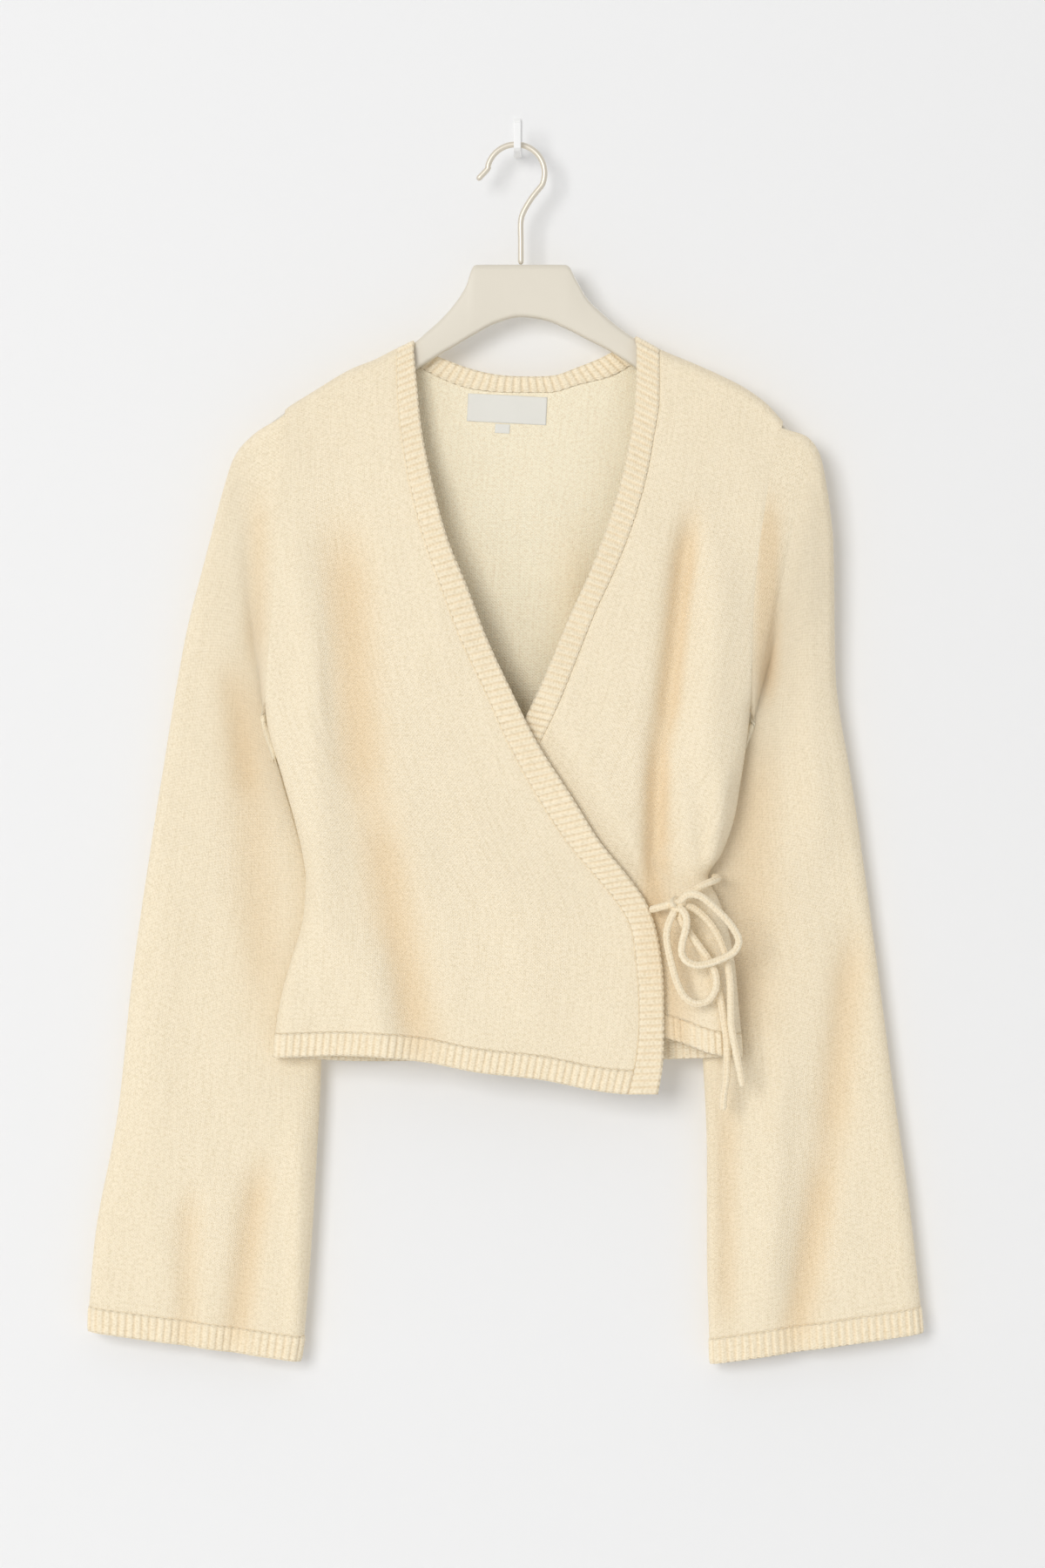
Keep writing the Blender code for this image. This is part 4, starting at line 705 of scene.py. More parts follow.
def shell(name, outer, inner, uv, finish, inner_finish=None, wrap=False, shade=None):
    """Closed thin shell between two grids of points. uv has one more column than a wrapped grid."""
    rows, columns = outer.shape[:2]
    spans = columns if wrap else columns - 1
    i, j = [part.ravel() for part in np.meshgrid(np.arange(rows - 1), np.arange(spans), indexing="ij")]
    k = (j + 1) % columns
    quads = np.stack([i * columns + j, (i + 1) * columns + j, (i + 1) * columns + k, i * columns + k], 1)
    width = uv.shape[1]
    flat = np.stack([i * width + j, (i + 1) * width + j, (i + 1) * width + j + 1, i * width + j + 1], 1)
    count = rows * columns
    last = (rows - 1) * columns
    j = np.arange(spans)
    k = (j + 1) % columns
    edges = [(j, k, j, j + 1), (last + k, last + j, (rows - 1) * width + j + 1, (rows - 1) * width + j)]
    if not wrap:
        i = np.arange(rows - 1)
        low, high = i * columns, (i + 1) * columns
        ends = (i + 1) * width - 1
        edges.append((high, low, (i + 1) * width, i * width))
        edges.append((low + columns - 1, high + columns - 1, ends, ends + width))
    rims = [np.stack([a, b, b + count, a + count], 1) for a, b, _, _ in edges]
    rim_flat = [np.stack([c, d, d, c], 1) for _, _, c, d in edges]
    faces = np.concatenate([quads, quads[:, ::-1] + count] + rims)
    corners = np.concatenate([flat, flat[:, ::-1]] + rim_flat)
    points = np.concatenate([outer.reshape(-1, 3), inner.reshape(-1, 3)])
    middle = len(quads) // 2
    corner_points = points[quads[middle]]
    face_normal = np.cross(corner_points[1] - corner_points[0], corner_points[2] - corner_points[0])
    through = points[quads[middle][0]] - points[quads[middle][0] + count]
    if face_normal @ through < 0:
        faces, corners = faces[:, ::-1], corners[:, ::-1]
    piece = mesh_piece(name, points, faces.tolist(), finish, uv.reshape(-1, 2)[corners.ravel()])
    smooth_faces = np.arange(len(faces)) < 2 * len(quads)
    piece.data.polygons.foreach_set("use_smooth", smooth_faces)
    if shade is None:
        shade = np.zeros(uv.shape[:2])
    # Painted shade of the folds' troughs, passed to the shader on a second UV map
    painted_shade_map = piece.data.uv_layers.new(name="PaintedFoldShade")
    spots = np.stack([shade.ravel()[corners.ravel()], np.zeros(corners.size)], axis=-1)
    painted_shade_map.data.foreach_set("uv", spots.astype(np.float32).ravel())
    piece.data.uv_layers["Cloth"].active = True
    if inner_finish:
        piece.data.materials.append(material(inner_finish))
        index = np.zeros(len(faces), int)
        index[len(quads):2 * len(quads)] = 1
        piece.data.polygons.foreach_set("material_index", index)
    return piece


def mesh_piece(name, points, faces, finish, uv=None):
    mesh = bpy.data.meshes.new(name)
    mesh.from_pydata(points.tolist(), [], faces)
    if uv is not None:
        layer = mesh.uv_layers.new(name="Cloth")
        layer.data.foreach_set("uv", np.ascontiguousarray(uv, dtype=np.float32).ravel())
    mesh.shade_smooth()
    piece = bpy.data.objects.new(name, mesh)
    bpy.context.scene.collection.objects.link(piece)
    mesh.materials.append(material(finish))
    return piece


def place(piece, slot, *nodes):
    """Ties a piece to the body and hides the CAD nodes that it stands for. Its slot argument is not used.
    """
    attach(piece, "root")
    if nodes:
        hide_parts(*nodes)


def closed_rows(points):
    """A wrapped grid with its first column again at its end."""
    return np.concatenate([points, points[:, :1]], axis=1)


def cloth(name, outer, inner, uv, node, slot, folds, inner_finish=None, wrap=False):
    """A cut piece of cloth: its shell and what it stands for. The flat size of its cut is worked out but
    not kept.
    """
    closed = closed_rows(outer) if wrap else outer
    # Painted shade: how dark the colour is painted in each fold's trough
    shade = np.clip(-fold_rise(folds, closed[..., 0], closed[..., 2]) / PAINTED_SHADE_FULL_DEPTH, 0, 1)
    piece = shell(name, outer, inner, uv, slot, inner_finish, wrap, shade)
    place(piece, slot, node)
    width = float(run_lengths(closed, 1)[:, -1].max())
    length = float(run_lengths(closed, 0)[-1].max())
    first, second = closed[1:, :-1] - closed[:-1, 1:], closed[1:, 1:] - closed[:-1, :-1]
    area = float(np.linalg.norm(np.cross(first, second), axis=-1).sum() / 2)
    flat = (round(width, 4), round(length, 4))
    area = min(area, flat[0] * flat[1])
    fuzz_sources.append((outer, outer - inner, wrap))


fuzz_sources = []


def panel_heights(first, last):
    """Row heights of a panel: close together where the cloth turns over the hanger."""
    above = first - np.array(CREST_STEPS)
    return np.concatenate([above, [UNDERARM_Z, last]])


def edge_shares(width, left_round, right_round):
    """Shares across a panel, close together at an edge where the body turns to its other side."""
    steps = np.array(EDGE_STEPS) / width
    plain = np.array(PLAIN_EDGE_STEPS) / width
    low = steps if left_round else plain
    high = 1 - (steps if right_round else plain)[::-1]
    count = int((high[0] - low[-1]) * width / FINE_STEP)
    return np.concatenate([low, np.linspace(low[-1], high[0], count)[1:-1], high])


def knit_cloth(name, points, normals, anchor, folds, wrap=False):
    """Plain knit with its purl side within. anchor is the column from which its stitches are set out."""
    uv = cloth_uv(closed_rows(points) if wrap else points, anchor)
    outer = points - normals * seam_dip(points, wrap)[..., None]
    cloth(name + "_knit", outer, points - normals * CLOTH, uv, name, "knit", folds, "purl", wrap)


def fine_panel(name, layer, x, z):
    points, normals = body_surface(x, z, layer)
    knit_cloth(name, points, normals, points.shape[1] // 2, LAYER_FOLDS[layer])


def fine_front(name, layer, band, hem, outer_is_left):
    hem_top = hem_line(hem, ABOVE_HEM)
    shift = TUCKED if outer_is_left else -TUCKED
    seam = band_edge(band, "seam", shift)
    side = left_edge if outer_is_left else right_edge
    side_top = SHOULDER_X[0] if outer_is_left else SHOULDER_X[1]
    seam_top = band[0][2] + shift
    side_rows = panel_heights(float(crest(side_top)), float(hem_top(side(-0.61))))
    seam_end = float(hem_top(band[-1][2] + shift))
    share = (side_rows - side_rows[0]) / (side_rows[-1] - side_rows[0])
    seam_rows = float(crest(seam_top)) + (seam_end - float(crest(seam_top))) * share
    seam_rows[:len(CREST_STEPS)] = float(crest(seam_top)) - np.array(CREST_STEPS)
    side_rows, seam_rows = refine_pair(side_rows, seam_rows, FINE_STEP)
    shares = edge_shares(0.17, True, False)
    if outer_is_left:
        x, z = panel_grid(side_rows, seam_rows, side, seam, crest, hem_top, shares)
    else:
        x, z = panel_grid(seam_rows, side_rows, seam, side, crest, hem_top, 1 - shares[::-1])
    fine_panel(name, layer, x, z)


def fine_back(name):
    hem_top = hem_line(BACK_HEM, ABOVE_HEM)
    neck = hem_line(NECK_SEAM, TUCKED)
    low, high = NECK_SEAM[0][0], NECK_SEAM[-1][0]

    def top(x):
        return np.where((x > low) & (x < high), neck(x), crest(x))

    left_rows = panel_heights(float(crest(SHOULDER_X[0])), float(hem_top(-0.165)))
    right_rows = panel_heights(float(crest(SHOULDER_X[1])), float(hem_top(0.152)))
    left_rows, right_rows = refine_pair(left_rows, right_rows, FINE_STEP)
    shares = edge_shares(0.32, True, True)
    x, z = panel_grid(left_rows, right_rows, left_edge, right_edge, top, hem_top, shares)
    fine_panel(name, "back", x, z)


def rib_heights(share, ribs):
    """Raised rounded ribs along a strip, and the ones between them on its other face."""
    wave = 0.5 - 0.5 * np.cos(2 * np.pi * ribs * share)
    return RIB_RISE * wave ** 0.8, RIB_RISE * (1 - wave) ** 0.8


def ribbed_cloth(name, points, normals, share, ribs, folds, inside_face=False, wrap=False):
    """Ribbed strip. Its ribs stand on the outer face, or on the face towards the body's hollow."""
    front, rear = (side[None, :, None] for side in rib_heights(share, ribs))
    down = run_lengths(points, 0)
    edge = 1 - 0.5 * (1 - ease(np.minimum(down, down[-1:] - down), 0.0, RIB_END))[..., None]
    if inside_face:
        outer = points - normals * RIB_BACK * rear * edge
        inner = points - normals * (CLOTH + front * edge)
    else:
        outer = points + normals * front * edge
        inner = points - normals * (CLOTH - RIB_BACK * rear * edge)
    uv = cloth_uv(closed_rows(points) if wrap else points, 0)
    uv[..., 0] = (np.append(share, 1.0) if wrap else share)[None, :] * ribs * RIB_PITCH
    cloth(name + "_ribbed", outer, inner, uv, name, "rib", folds, wrap=wrap)


def fine_strip(name, layer, line_a, line_b, ribs, rows, inside_face=False):
    share = np.linspace(0, 1, ribs * COLUMNS_PER_RIB + 1)
    xa, za = line_a(share)
    xb, zb = line_b(share)
    t = np.linspace(0, 1, rows)[:, None]
    points, normals = body_surface(xa + (xb - xa) * t, za + (zb - za) * t, layer)
    ribbed_cloth(name, points, normals, share, ribs, LAYER_FOLDS[layer], inside_face)


def fine_band(name, layer, band, ribs):
    z, edge_x, seam_x = (column(band, BAND_COLUMNS, key) for key in BAND_COLUMNS)
    edge_z, seam_z = z.copy(), z.copy()
    edge_z[0], seam_z[0] = crest(edge_x[0]), crest(seam_x[0])
    hem = OUTER_HEM if layer == "outer" else UNDER_HEM
    edge_z[-1], seam_z[-1] = hem_line(hem)(edge_x[-1]), hem_line(hem)(seam_x[-1])
    fine_strip(name, layer, curve_line(edge_x, edge_z), curve_line(seam_x, seam_z), ribs, 9)


def fine_hem(name, layer, table, ends, ribs):
    upper = straight_hem(table, HEM_HEIGHT, *ends[0])
    lower = straight_hem(table, 0.0, *ends[1])
    fine_strip(name, layer, upper, lower, ribs, 8)


def fine_neck_band(name):
    seam = curve_line(*np.array(NECK_SEAM).T)
    edge = curve_line(*np.array(NECK_EDGE).T)
    fine_strip(name, "back", edge, seam, RIBS["back_neck"], 7, inside_face=True)


def fine_sleeve(name, rings, side, folds):
    rows = np.concatenate([[0, 0.002, 0.005], np.linspace(0.009, 0.994, SLEEVE_ROWS), [0.997, 1.0]])
    half = 0.5 - 0.5 * np.cos(np.pi * np.linspace(0, 1, SLEEVE_COLUMNS + 1)[:-1])
    around = np.concatenate([half, 1 + half])
    points = sleeve_surface(rings, side, rows[:, None], around[None, :], folds)
    normals = grid_normals(points) * -side
    normals[..., 0] *= ease(rows, 0, 0.05)[:, None]
    knit_cloth(name, points, unit(normals), len(half) // 2, folds, wrap=True)


def fine_cuff(name, rings, cuff, side, folds):
    ribs = RIBS["cuff"]
    share = np.arange(ribs * COLUMNS_PER_RIB) / (ribs * COLUMNS_PER_RIB)
    fine = np.linspace(0, 2, CUFF_SAMPLES)
    ring = cuff_ring(rings, cuff, side, fine[:-1], folds, 0.0)
    length = run_length(np.vstack([ring, ring[:1]]))
    around = np.interp(share * length[-1], length, fine)
    levels = np.linspace(0, 1, 8)
    points = np.stack([cuff_ring(rings, cuff, side, around, folds, level) for level in levels])
    normals = grid_normals(points) * -side
    ribbed_cloth(name, points, normals, share, ribs, folds, wrap=True)


def fine_patch(name, spec, tilt):
    """Woven label on the back's inner face, thinner towards its edges."""
    middle_x, top_z, width, height = spec
    u, v = np.meshgrid(np.linspace(-0.5, 0.5, PATCH_COLUMNS), np.linspace(0, 1, PATCH_ROWS))
    x = middle_x + u * width * np.cos(tilt) - v * height * np.sin(tilt)
    z = top_z - u * width * np.sin(tilt) - v * height * np.cos(tilt)
    points, normals = body_surface(x, z, "back")
    near = points - normals * (CLOTH + SEAM_GAP)
    edge = np.minimum((0.5 - abs(u)) * width, np.minimum(v, 1 - v) * height)
    rise = LABEL_THICKNESS * (0.62 + 0.38 * ease(edge, 0, 0.0012))
    uv = np.stack([u * width, -v * height], axis=-1)
    piece = shell(name + "_woven", near - normals * rise[..., None], near, uv, "label")
    place(piece, "label", name)


def fine_hanger(name):
    """Hanger: smooth rounded sections, thinner towards the tips."""
    places = np.arange(len(HANGER))
    fine = np.linspace(0, len(HANGER) - 1, 8 * (len(HANGER) - 1) + 1)
    xs, tops, bottoms = (smooth(places.astype(float), column(HANGER, HANGER_COLUMNS, key), fine)
                         for key in HANGER_COLUMNS)
    quarter = np.linspace(0, 1, 7) * np.pi / 2
    rings = []
    for x, top, bottom in zip(xs, tops, bottoms):
        height = top - bottom
        half = HANGER_HALF * min(1.0, 0.45 + 0.55 * (height / HANGER_TALL) ** 2)
        bend = min(HANGER_BEND, 0.45 * height)
        side = [(half - bend * 0.9 * (1 - np.sin(a)), top - bend * (1 - np.cos(a))) for a in quarter]
        side += [(half - bend * 0.6 * (1 - np.sin(a)), bottom + bend * 0.6 * (1 - np.cos(a)))
                 for a in quarter[::-1]]
        section = [(-y, z) for y, z in side] + [(y, z) for y, z in reversed(side)]
        rings.append([(x, HANGER_Y + y, z) for y, z in section])
    solid_loft(name + "_moulded", np.array(rings), "hanger", (name,))


def loft(rings):
    """Points and outward faces of a tube through the rings, with flat ends."""
    rows, columns = rings.shape[:2]
    faces = []
    for low in range(0, (rows - 1) * columns, columns):
        for j in range(columns):
            k = (j + 1) % columns
            faces.append((low + j, low + columns + j, low + columns + k, low + k))
    faces.append(tuple(range(columns)))
    faces.append(tuple((rows - 1) * columns + j for j in reversed(range(columns))))
    points = rings.reshape(-1, 3)
    return points, outward(points, faces)


def solid_loft(name, rings, slot, nodes):
    points, faces = loft(rings)
    spots = np.stack([run_lengths(rings, 0), run_lengths(rings, 1)], axis=-1).reshape(-1, 2)
    uv = np.concatenate([spots[list(face)] for face in faces])
    piece = mesh_piece(name, points, faces, slot, uv)
    place(piece, slot, *nodes)
    return piece


def outward(points, faces):
    """The faces, all turned round if they look inwards."""
    total = 0.0
    for face in faces:
        a = points[face[0]]
        for b, c in zip(face[1:-1], face[2:]):
            total += a @ np.cross(points[b], points[c])
    return [tuple(reversed(face)) for face in faces] if total < 0 else faces


def tube_rings(path, radii, sides):
    """Rings round a path, with no twist along it."""
    path = np.array(path, float)
    tangent = unit(np.gradient(path, axis=0))
    normal = np.cross(tangent[0], (0.0, 1.0, 0.0))
    if np.linalg.norm(normal) < 0.2:
        normal = np.cross(tangent[0], (1.0, 0.0, 0.0))
    angles = 2 * np.pi * np.arange(sides) / sides
    rings = []
    for middle, way, radius in zip(path, tangent, radii):
        normal = unit(normal - way * (normal @ way))
        other = np.cross(way, normal)
        rings.append(middle + radius * (np.cos(angles)[:, None] * normal + np.sin(angles)[:, None] * other))
    return np.array(rings)


def round_ends(radius, count, ball):
    """Radii along a tube whose two ends are rounded over the first and last few rings."""
    ball = np.array(ball)
    radii = np.full(count, radius)
    radii[:len(ball)] *= ball
    radii[-len(ball):] *= ball[::-1]
    return radii


def make_cord(name, route, nodes):
    """A limp knitted tie that passes through the knot on one path."""
    path = smooth_route(route, CORD_STEP)
    run = np.arange(len(path)) * CORD_STEP
    radii = round_ends(TIE_RADIUS, len(path), CORD_END)
    radii = radii * (1 + CORD_SWELL * np.sin(2 * np.pi * run / CORD_STITCH))
    points, faces = loft(tube_rings(path, radii, CORD_SIDES))
    around = np.arange(CORD_SIDES + 1) / CORD_SIDES * 2 * np.pi * TIE_RADIUS
    uv = []
    for face in faces:
        wraps = {v % CORD_SIDES for v in face} == {0, CORD_SIDES - 1}
        for v in face:
            ring, side = divmod(v, CORD_SIDES)
            uv.append((around[CORD_SIDES if wraps and side == 0 else side], run[ring]))
    piece = mesh_piece(name, points, faces, "rib", np.array(uv))
    place(piece, "tie", *nodes)
    path = [tuple(map(float, spot)) for spot in path]


def make_knot():
    """Wrapped knot: a trefoil of the same tie, drawn tight."""
    t = np.linspace(0, 2 * np.pi, 121)
    swing = 2 + np.cos(3 * t)
    spots = np.stack([np.cos(2 * t) * swing, -0.8 * np.sin(3 * t), np.sin(2 * t) * swing], axis=-1)
    inside = (np.array(KNOT_RADII) - KNOT_WRAP * 0.62) / np.array([3.0, 0.8, 3.0])
    path = np.array(KNOT_CENTRE) + spots * inside
    rings = tube_rings(path, np.full(len(path), KNOT_WRAP), 14)
    return solid_loft("knot_wraps", rings, "rib", ("tie_knot",))


def through_knot(names, turns):
    """Route of a tie from its exit, through the knot between each two strands, to its bare end."""
    points = []
    for name, inside in zip(names, list(turns) + [()]):
        leaves, route, enters = TIE_ROUTES[name]
        points += [knot_port(leaves)] if leaves else []
        points += list(route)
        points += [knot_port(enters)] if enters else []
        points += [tuple(np.array(KNOT_CENTRE) + np.array(spot)) for spot in inside]
    return points


def make_ties():
    knot = make_knot()
    for name, strands, turns in TIE_PATHS:
        make_cord(name, through_knot(strands, turns), strands)


def make_wire():
    """Wire hook: stem, bend, a round arc over the wall hook's arm, and a straight tip."""
    centre_x, centre_z = HOOK_CENTRE
    angles = np.radians(np.linspace(*HOOK_ARC, 40))
    arc = [(centre_x + HOOK_RADIUS * np.cos(a), centre_z + HOOK_RADIUS * np.sin(a)) for a in angles]
    plan = list(HOOK_STEM) + arc + [HOOK_TIP]
    path = smooth_route([(x, HANGER_Y, z) for x, z in plan], WIRE_STEP)
    radii = round_ends(WIRE_RADIUS, len(path), WIRE_END)
    solid_loft("hook_wire", tube_rings(path, radii, WIRE_SIDES), "wire", ("hanger_hook",))


def make_wall_hook():
    """Small wall hook, extruded along X from its side profile, with softened edges."""
    half = WALL_HOOK_WIDTH / 2
    count = len(WALL_HOOK_PROFILE)
    points = np.array([(side * half, y, z) for side in (-1, 1) for y, z in WALL_HOOK_PROFILE])
    faces = [tuple(range(count)), tuple(count + j for j in reversed(range(count)))]
    for j in range(count):
        k = (j + 1) % count
        faces.append((k, j, count + j, count + k))
    faces = outward(points, faces)
    uv = np.concatenate([points[list(face)][:, [1, 2]] for face in faces])
    piece = mesh_piece("wall_hook_painted", points, faces, "hook", uv)
    bevel = piece.modifiers.new("Softened edges", "BEVEL")
    bevel.width = 0.0005
    bevel.segments = 3
    bevel.limit_method = "ANGLE"
    piece.data.polygons.foreach_set("use_smooth", [False] * len(piece.data.polygons))
    place(piece, "hook", "wall_hook")


def make_fuzz(name, count, longest):
    """Loose fibres that stand off the knit, as thin tapered ribbons."""
    weights = np.array([float(outer.shape[0] * outer.shape[1]) for outer, through, wrap in fuzz_sources])
    shares = np.round(count * weights / weights.sum()).astype(int)
    rungs = []
    for (outer, through, wrap), number in zip(fuzz_sources, shares):
        rows, columns = outer.shape[:2]
        i = random.integers(1, rows - 1, number)
        j = random.integers(0 if wrap else 1, columns - 1, number)
        mix = random.random((number, 1))
        root = outer[i, j] * mix + outer[i, (j + 1) % columns] * (1 - mix)
        out = unit(through[i, j])
        lean = unit(random.normal(size=(number, 3)))
        lean = unit(lean - out * np.sum(lean * out, axis=1, keepdims=True))
        length = random.uniform(FIBRE_SHORTEST, longest, (number, 1))
        rise = random.uniform(0.25, 0.9, (number, 1))
        droop = np.array(FIBRE_DROOP)
        side = unit(np.cross(out, lean)) * FIBRE_WIDTH / 2
        for step in range(FIBRE_RINGS):
            t = step / (FIBRE_RINGS - 1)
            lift = out * length * rise * (t - 0.45 * t * t)
            spine = root + lean * length * t + lift + droop * t * t - out * FIBRE_ROOT
            half = side * (1 - 0.7 * t)
            rungs.append(np.stack([spine - half, spine + half], axis=1))
    blocks = [np.stack(rungs[first:first + FIBRE_RINGS], axis=1)
              for first in range(0, len(rungs), FIBRE_RINGS)]
    points = np.concatenate(blocks).reshape(-1, 3)
    start = np.arange(len(points) // 8)[:, None] * 8
    quad = np.array([[0, 1, 3, 2], [2, 3, 5, 4], [4, 5, 7, 6]]).reshape(1, 12)
    faces = (start + quad).reshape(-1, 4)
    uv = np.tile(np.array([[0, 0], [1, 0], [1, 1], [0, 1]], float) * 0.001, (len(faces), 1))
    piece = mesh_piece(name, points, faces.tolist(), "fuzz", uv)
    place(piece, "knit")


# Finishes. Each knit's colour, its stitch size in metres, and how deep its stitches look
KNITS = {
    "knit": ((0.925, 0.812, 0.612), STITCH_WALE, STITCH_COURSE, 0.8),
    "rib": ((0.935, 0.825, 0.625), RIB_PITCH, 0.0020, 0.9),
    # The purl face's colour is lighter than the knit face's: painted light on the body's inside, which lies
    # in shade
    "purl": ((0.980, 0.868, 0.665), STITCH_WALE, STITCH_COURSE, 0.8),
}
KNIT_SHADER = {"Roughness": 0.95, "Sheen Weight": 0.35, "Sheen Roughness": 0.55,
               "Sheen Tint": (1.0, 0.93, 0.80, 1.0), "Specular IOR Level": 0.15}
KNIT_BUMP = (0.6, 0.0006)
WANDER_SCALE = 90.0       # how finely the rows of stitches wander, and how far
WANDER = (0.0007, 0.0007, 0.0)
STITCH_SLANT = 1.1        # slant of a stitch's legs, in courses to a wale
LOOP_RISE = 0.32
WALE_RISE = 0.5
NAP_SCALE = 1100.0
NAP_RISE = 1.3
MOTTLE_SCALE = 520.0      # lighter and darker grain: its scale, then its gain and offset
MOTTLE = (2.4, -0.7)
STREAK_SCALE = (420.0, 30.0, 1.0)
STREAK = (0.9, -0.45)
# Painted shade and light of the stitches: their hollows darker and their crests lighter, mixed with the
# grain's random tone
STITCH_SHADE = 0.75
LIGHT_YARN_AND_HIGHLIGHT = 1.05
DEEP_YARN_AND_SHADE = (0.92, 0.892, 0.832)
RIB_SHADE = (0.36, 0.10)  # gain and offset of the painted shade between two ribs
# Painted shade: warm darkening multiplied into the knit's colour in the folds' troughs
PAINTED_TROUGH_SHADE = (0.93, 0.85, 0.755, 1.0)
LOOK = "look_"
SMOOTHS = {
    "hanger": ((0.755, 0.700, 0.590), 0.48, 0.0),
    "wire": ((0.760, 0.700, 0.590), 0.40, 0.45),
    "hook": ((0.900, 0.900, 0.890), 0.35, 0.0),
}
GRAIN_SCALE = 900.0
GRAIN_BUMP = (0.12, 0.0002)
CLOUD_SCALE = 24.0
CLOUD_SHADE = 0.965
LABEL_SHADER = {"Roughness": 0.55, "Sheen Weight": 0.2}
LABEL_PICK = 0.00045
LABEL_END = 0.0006
LABEL_BUMP = (0.4, 0.0002)
LABEL_DEEP = (0.80, 0.78, 0.70, 1.0)
LABEL_LIGHT = (0.90, 0.885, 0.83, 1.0)
FUZZ_SHADER = {"Roughness": 0.9, "Base Color": (0.86, 0.77, 0.60, 1.0), "Specular IOR Level": 0.1}


class Graph:
    """Short way to write a material's nodes."""

    def __init__(self, made):
        self.tree = made.node_tree
        self.shader = self.tree.nodes["Principled BSDF"]

    def node(self, kind, settings=None, **inputs):
        made = self.tree.nodes.new(kind)
        for key, value in (settings or {}).items():
            setattr(made, key, value)
        for key, value in inputs.items():
            self.feed(made.inputs[key.replace("_", " ")], value)
        return made

    def uv_map(self, name):
        return self.node("ShaderNodeUVMap", {"uv_map": name}).outputs[0]

    def feed(self, socket, value):
        if isinstance(value, bpy.types.NodeSocket):
            self.tree.links.new(value, socket)
        else:
            socket.default_value = value

    def math(self, operation, first, second=0.0, third=0.0):
        made = self.tree.nodes.new("ShaderNodeMath")
        made.operation = operation
        for socket, value in zip(made.inputs, (first, second, third)):
            self.feed(socket, value)
        return made.outputs[0]

    def noise(self, vector, scale, detail=2.0):
        made = self.node("ShaderNodeTexNoise", Vector=vector, Scale=scale, Detail=detail)
        return made.outputs[0]

    def mix(self, share, first, second, blend="MIX"):
        made = self.node("ShaderNodeMix", {"data_type": "RGBA", "blend_type": blend})
        for index, value in zip((0, 6, 7), (share, first, second)):
            self.feed(made.inputs[index], value)
        return made.outputs[2]

    def finish(self, colour, height, strength, distance):
        """Feeds the shader its colour and a bump from the height."""
        bump = self.node("ShaderNodeBump", Strength=strength, Distance=distance, Height=height)
        self.feed(self.shader.inputs["Normal"], bump.outputs[0])
        self.feed(self.shader.inputs["Base Color"], colour)


def new_material(name, sockets):
    made = bpy.data.materials.new(LOOK + name)
    made.use_nodes = True
    shader = made.node_tree.nodes["Principled BSDF"]
    for socket, value in sockets.items():
        shader.inputs[socket].default_value = value
    return made


def knit_material(name):
    """Brushed wool knit: rows of V stitches, softened by nap and mottled a little, with painted shade in
    the stitches' hollows, the folds' troughs and between ribs, and painted light on the stitches' crests.
    """
    colour, wale, course, relief = KNITS[name]
    made = new_material(name, KNIT_SHADER)
    graph = Graph(made)
    cloth_map = graph.uv_map("Cloth")
    drift = graph.node("ShaderNodeTexNoise", Vector=cloth_map, Scale=WANDER_SCALE, Detail=0.0)
    wander = graph.node("ShaderNodeVectorMath", {"operation": "MULTIPLY_ADD"})
    for socket, value in zip(wander.inputs, (drift.outputs[1], WANDER, cloth_map)):
        graph.feed(socket, value)
    split = graph.node("ShaderNodeSeparateXYZ", Vector=wander.outputs[0])
    across = graph.math("FRACT", graph.math("DIVIDE", split.outputs[0], wale))
    leg = graph.math("ABSOLUTE", graph.math("SUBTRACT", across, 0.5))
    along = graph.math("DIVIDE", split.outputs[1], course)
    slant = graph.math("MULTIPLY", leg, STITCH_SLANT)
    turned = graph.math("ADD" if name == "purl" else "SUBTRACT", along, slant)
    loop = graph.math("SINE", graph.math("MULTIPLY", turned, 2 * np.pi))
    ridge = graph.math("SINE", graph.math("MULTIPLY", leg, 2 * np.pi))
    loop = graph.math("MULTIPLY", loop, LOOP_RISE)
    stitch = graph.math("ADD", loop, graph.math("MULTIPLY", ridge, WALE_RISE))
    nap = graph.math("MULTIPLY", graph.noise(cloth_map, NAP_SCALE, 1.0), NAP_RISE)
    height = graph.math("ADD", graph.math("MULTIPLY", stitch, relief), nap)
    mottle = graph.math("MULTIPLY_ADD", graph.noise(cloth_map, MOTTLE_SCALE, 1.0), *MOTTLE)
    stretched = graph.node("ShaderNodeMapping", Vector=cloth_map, Scale=STREAK_SCALE)
    streak = graph.math("MULTIPLY_ADD", graph.noise(stretched.outputs[0], 1.0, 1.0), *STREAK)
    grain = graph.math("ADD", mottle, streak)
    # Painted shade in the stitches' hollows and painted light on their crests, added to the random grain
    shade = graph.math("ADD", grain, graph.math("MULTIPLY", stitch, STITCH_SHADE))
    light = (*(min(1.0, c * LIGHT_YARN_AND_HIGHLIGHT) for c in colour), 1.0)
    deep = (*(c * share for c, share in zip(colour, DEEP_YARN_AND_SHADE)), 1.0)
    even = graph.mix(graph.math("MINIMUM", graph.math("MAXIMUM", shade, 0.0), 1.0), deep, light)
    # Painted shade: the colour is darkened in the folds' troughs
    fold = graph.node("ShaderNodeSeparateXYZ", Vector=graph.uv_map("PaintedFoldShade")).outputs[0]
    if name == "rib":
        # Painted shade in the groove between two ribs
        groove = graph.math("COSINE", graph.math("MULTIPLY", across, 2 * np.pi))
        fold = graph.math("MAXIMUM", fold, graph.math("MULTIPLY_ADD", groove, *RIB_SHADE))
        fold = graph.math("MAXIMUM", fold, 0.0)
    graph.finish(graph.mix(fold, even, PAINTED_TROUGH_SHADE, "MULTIPLY"), height, *KNIT_BUMP)
    return made


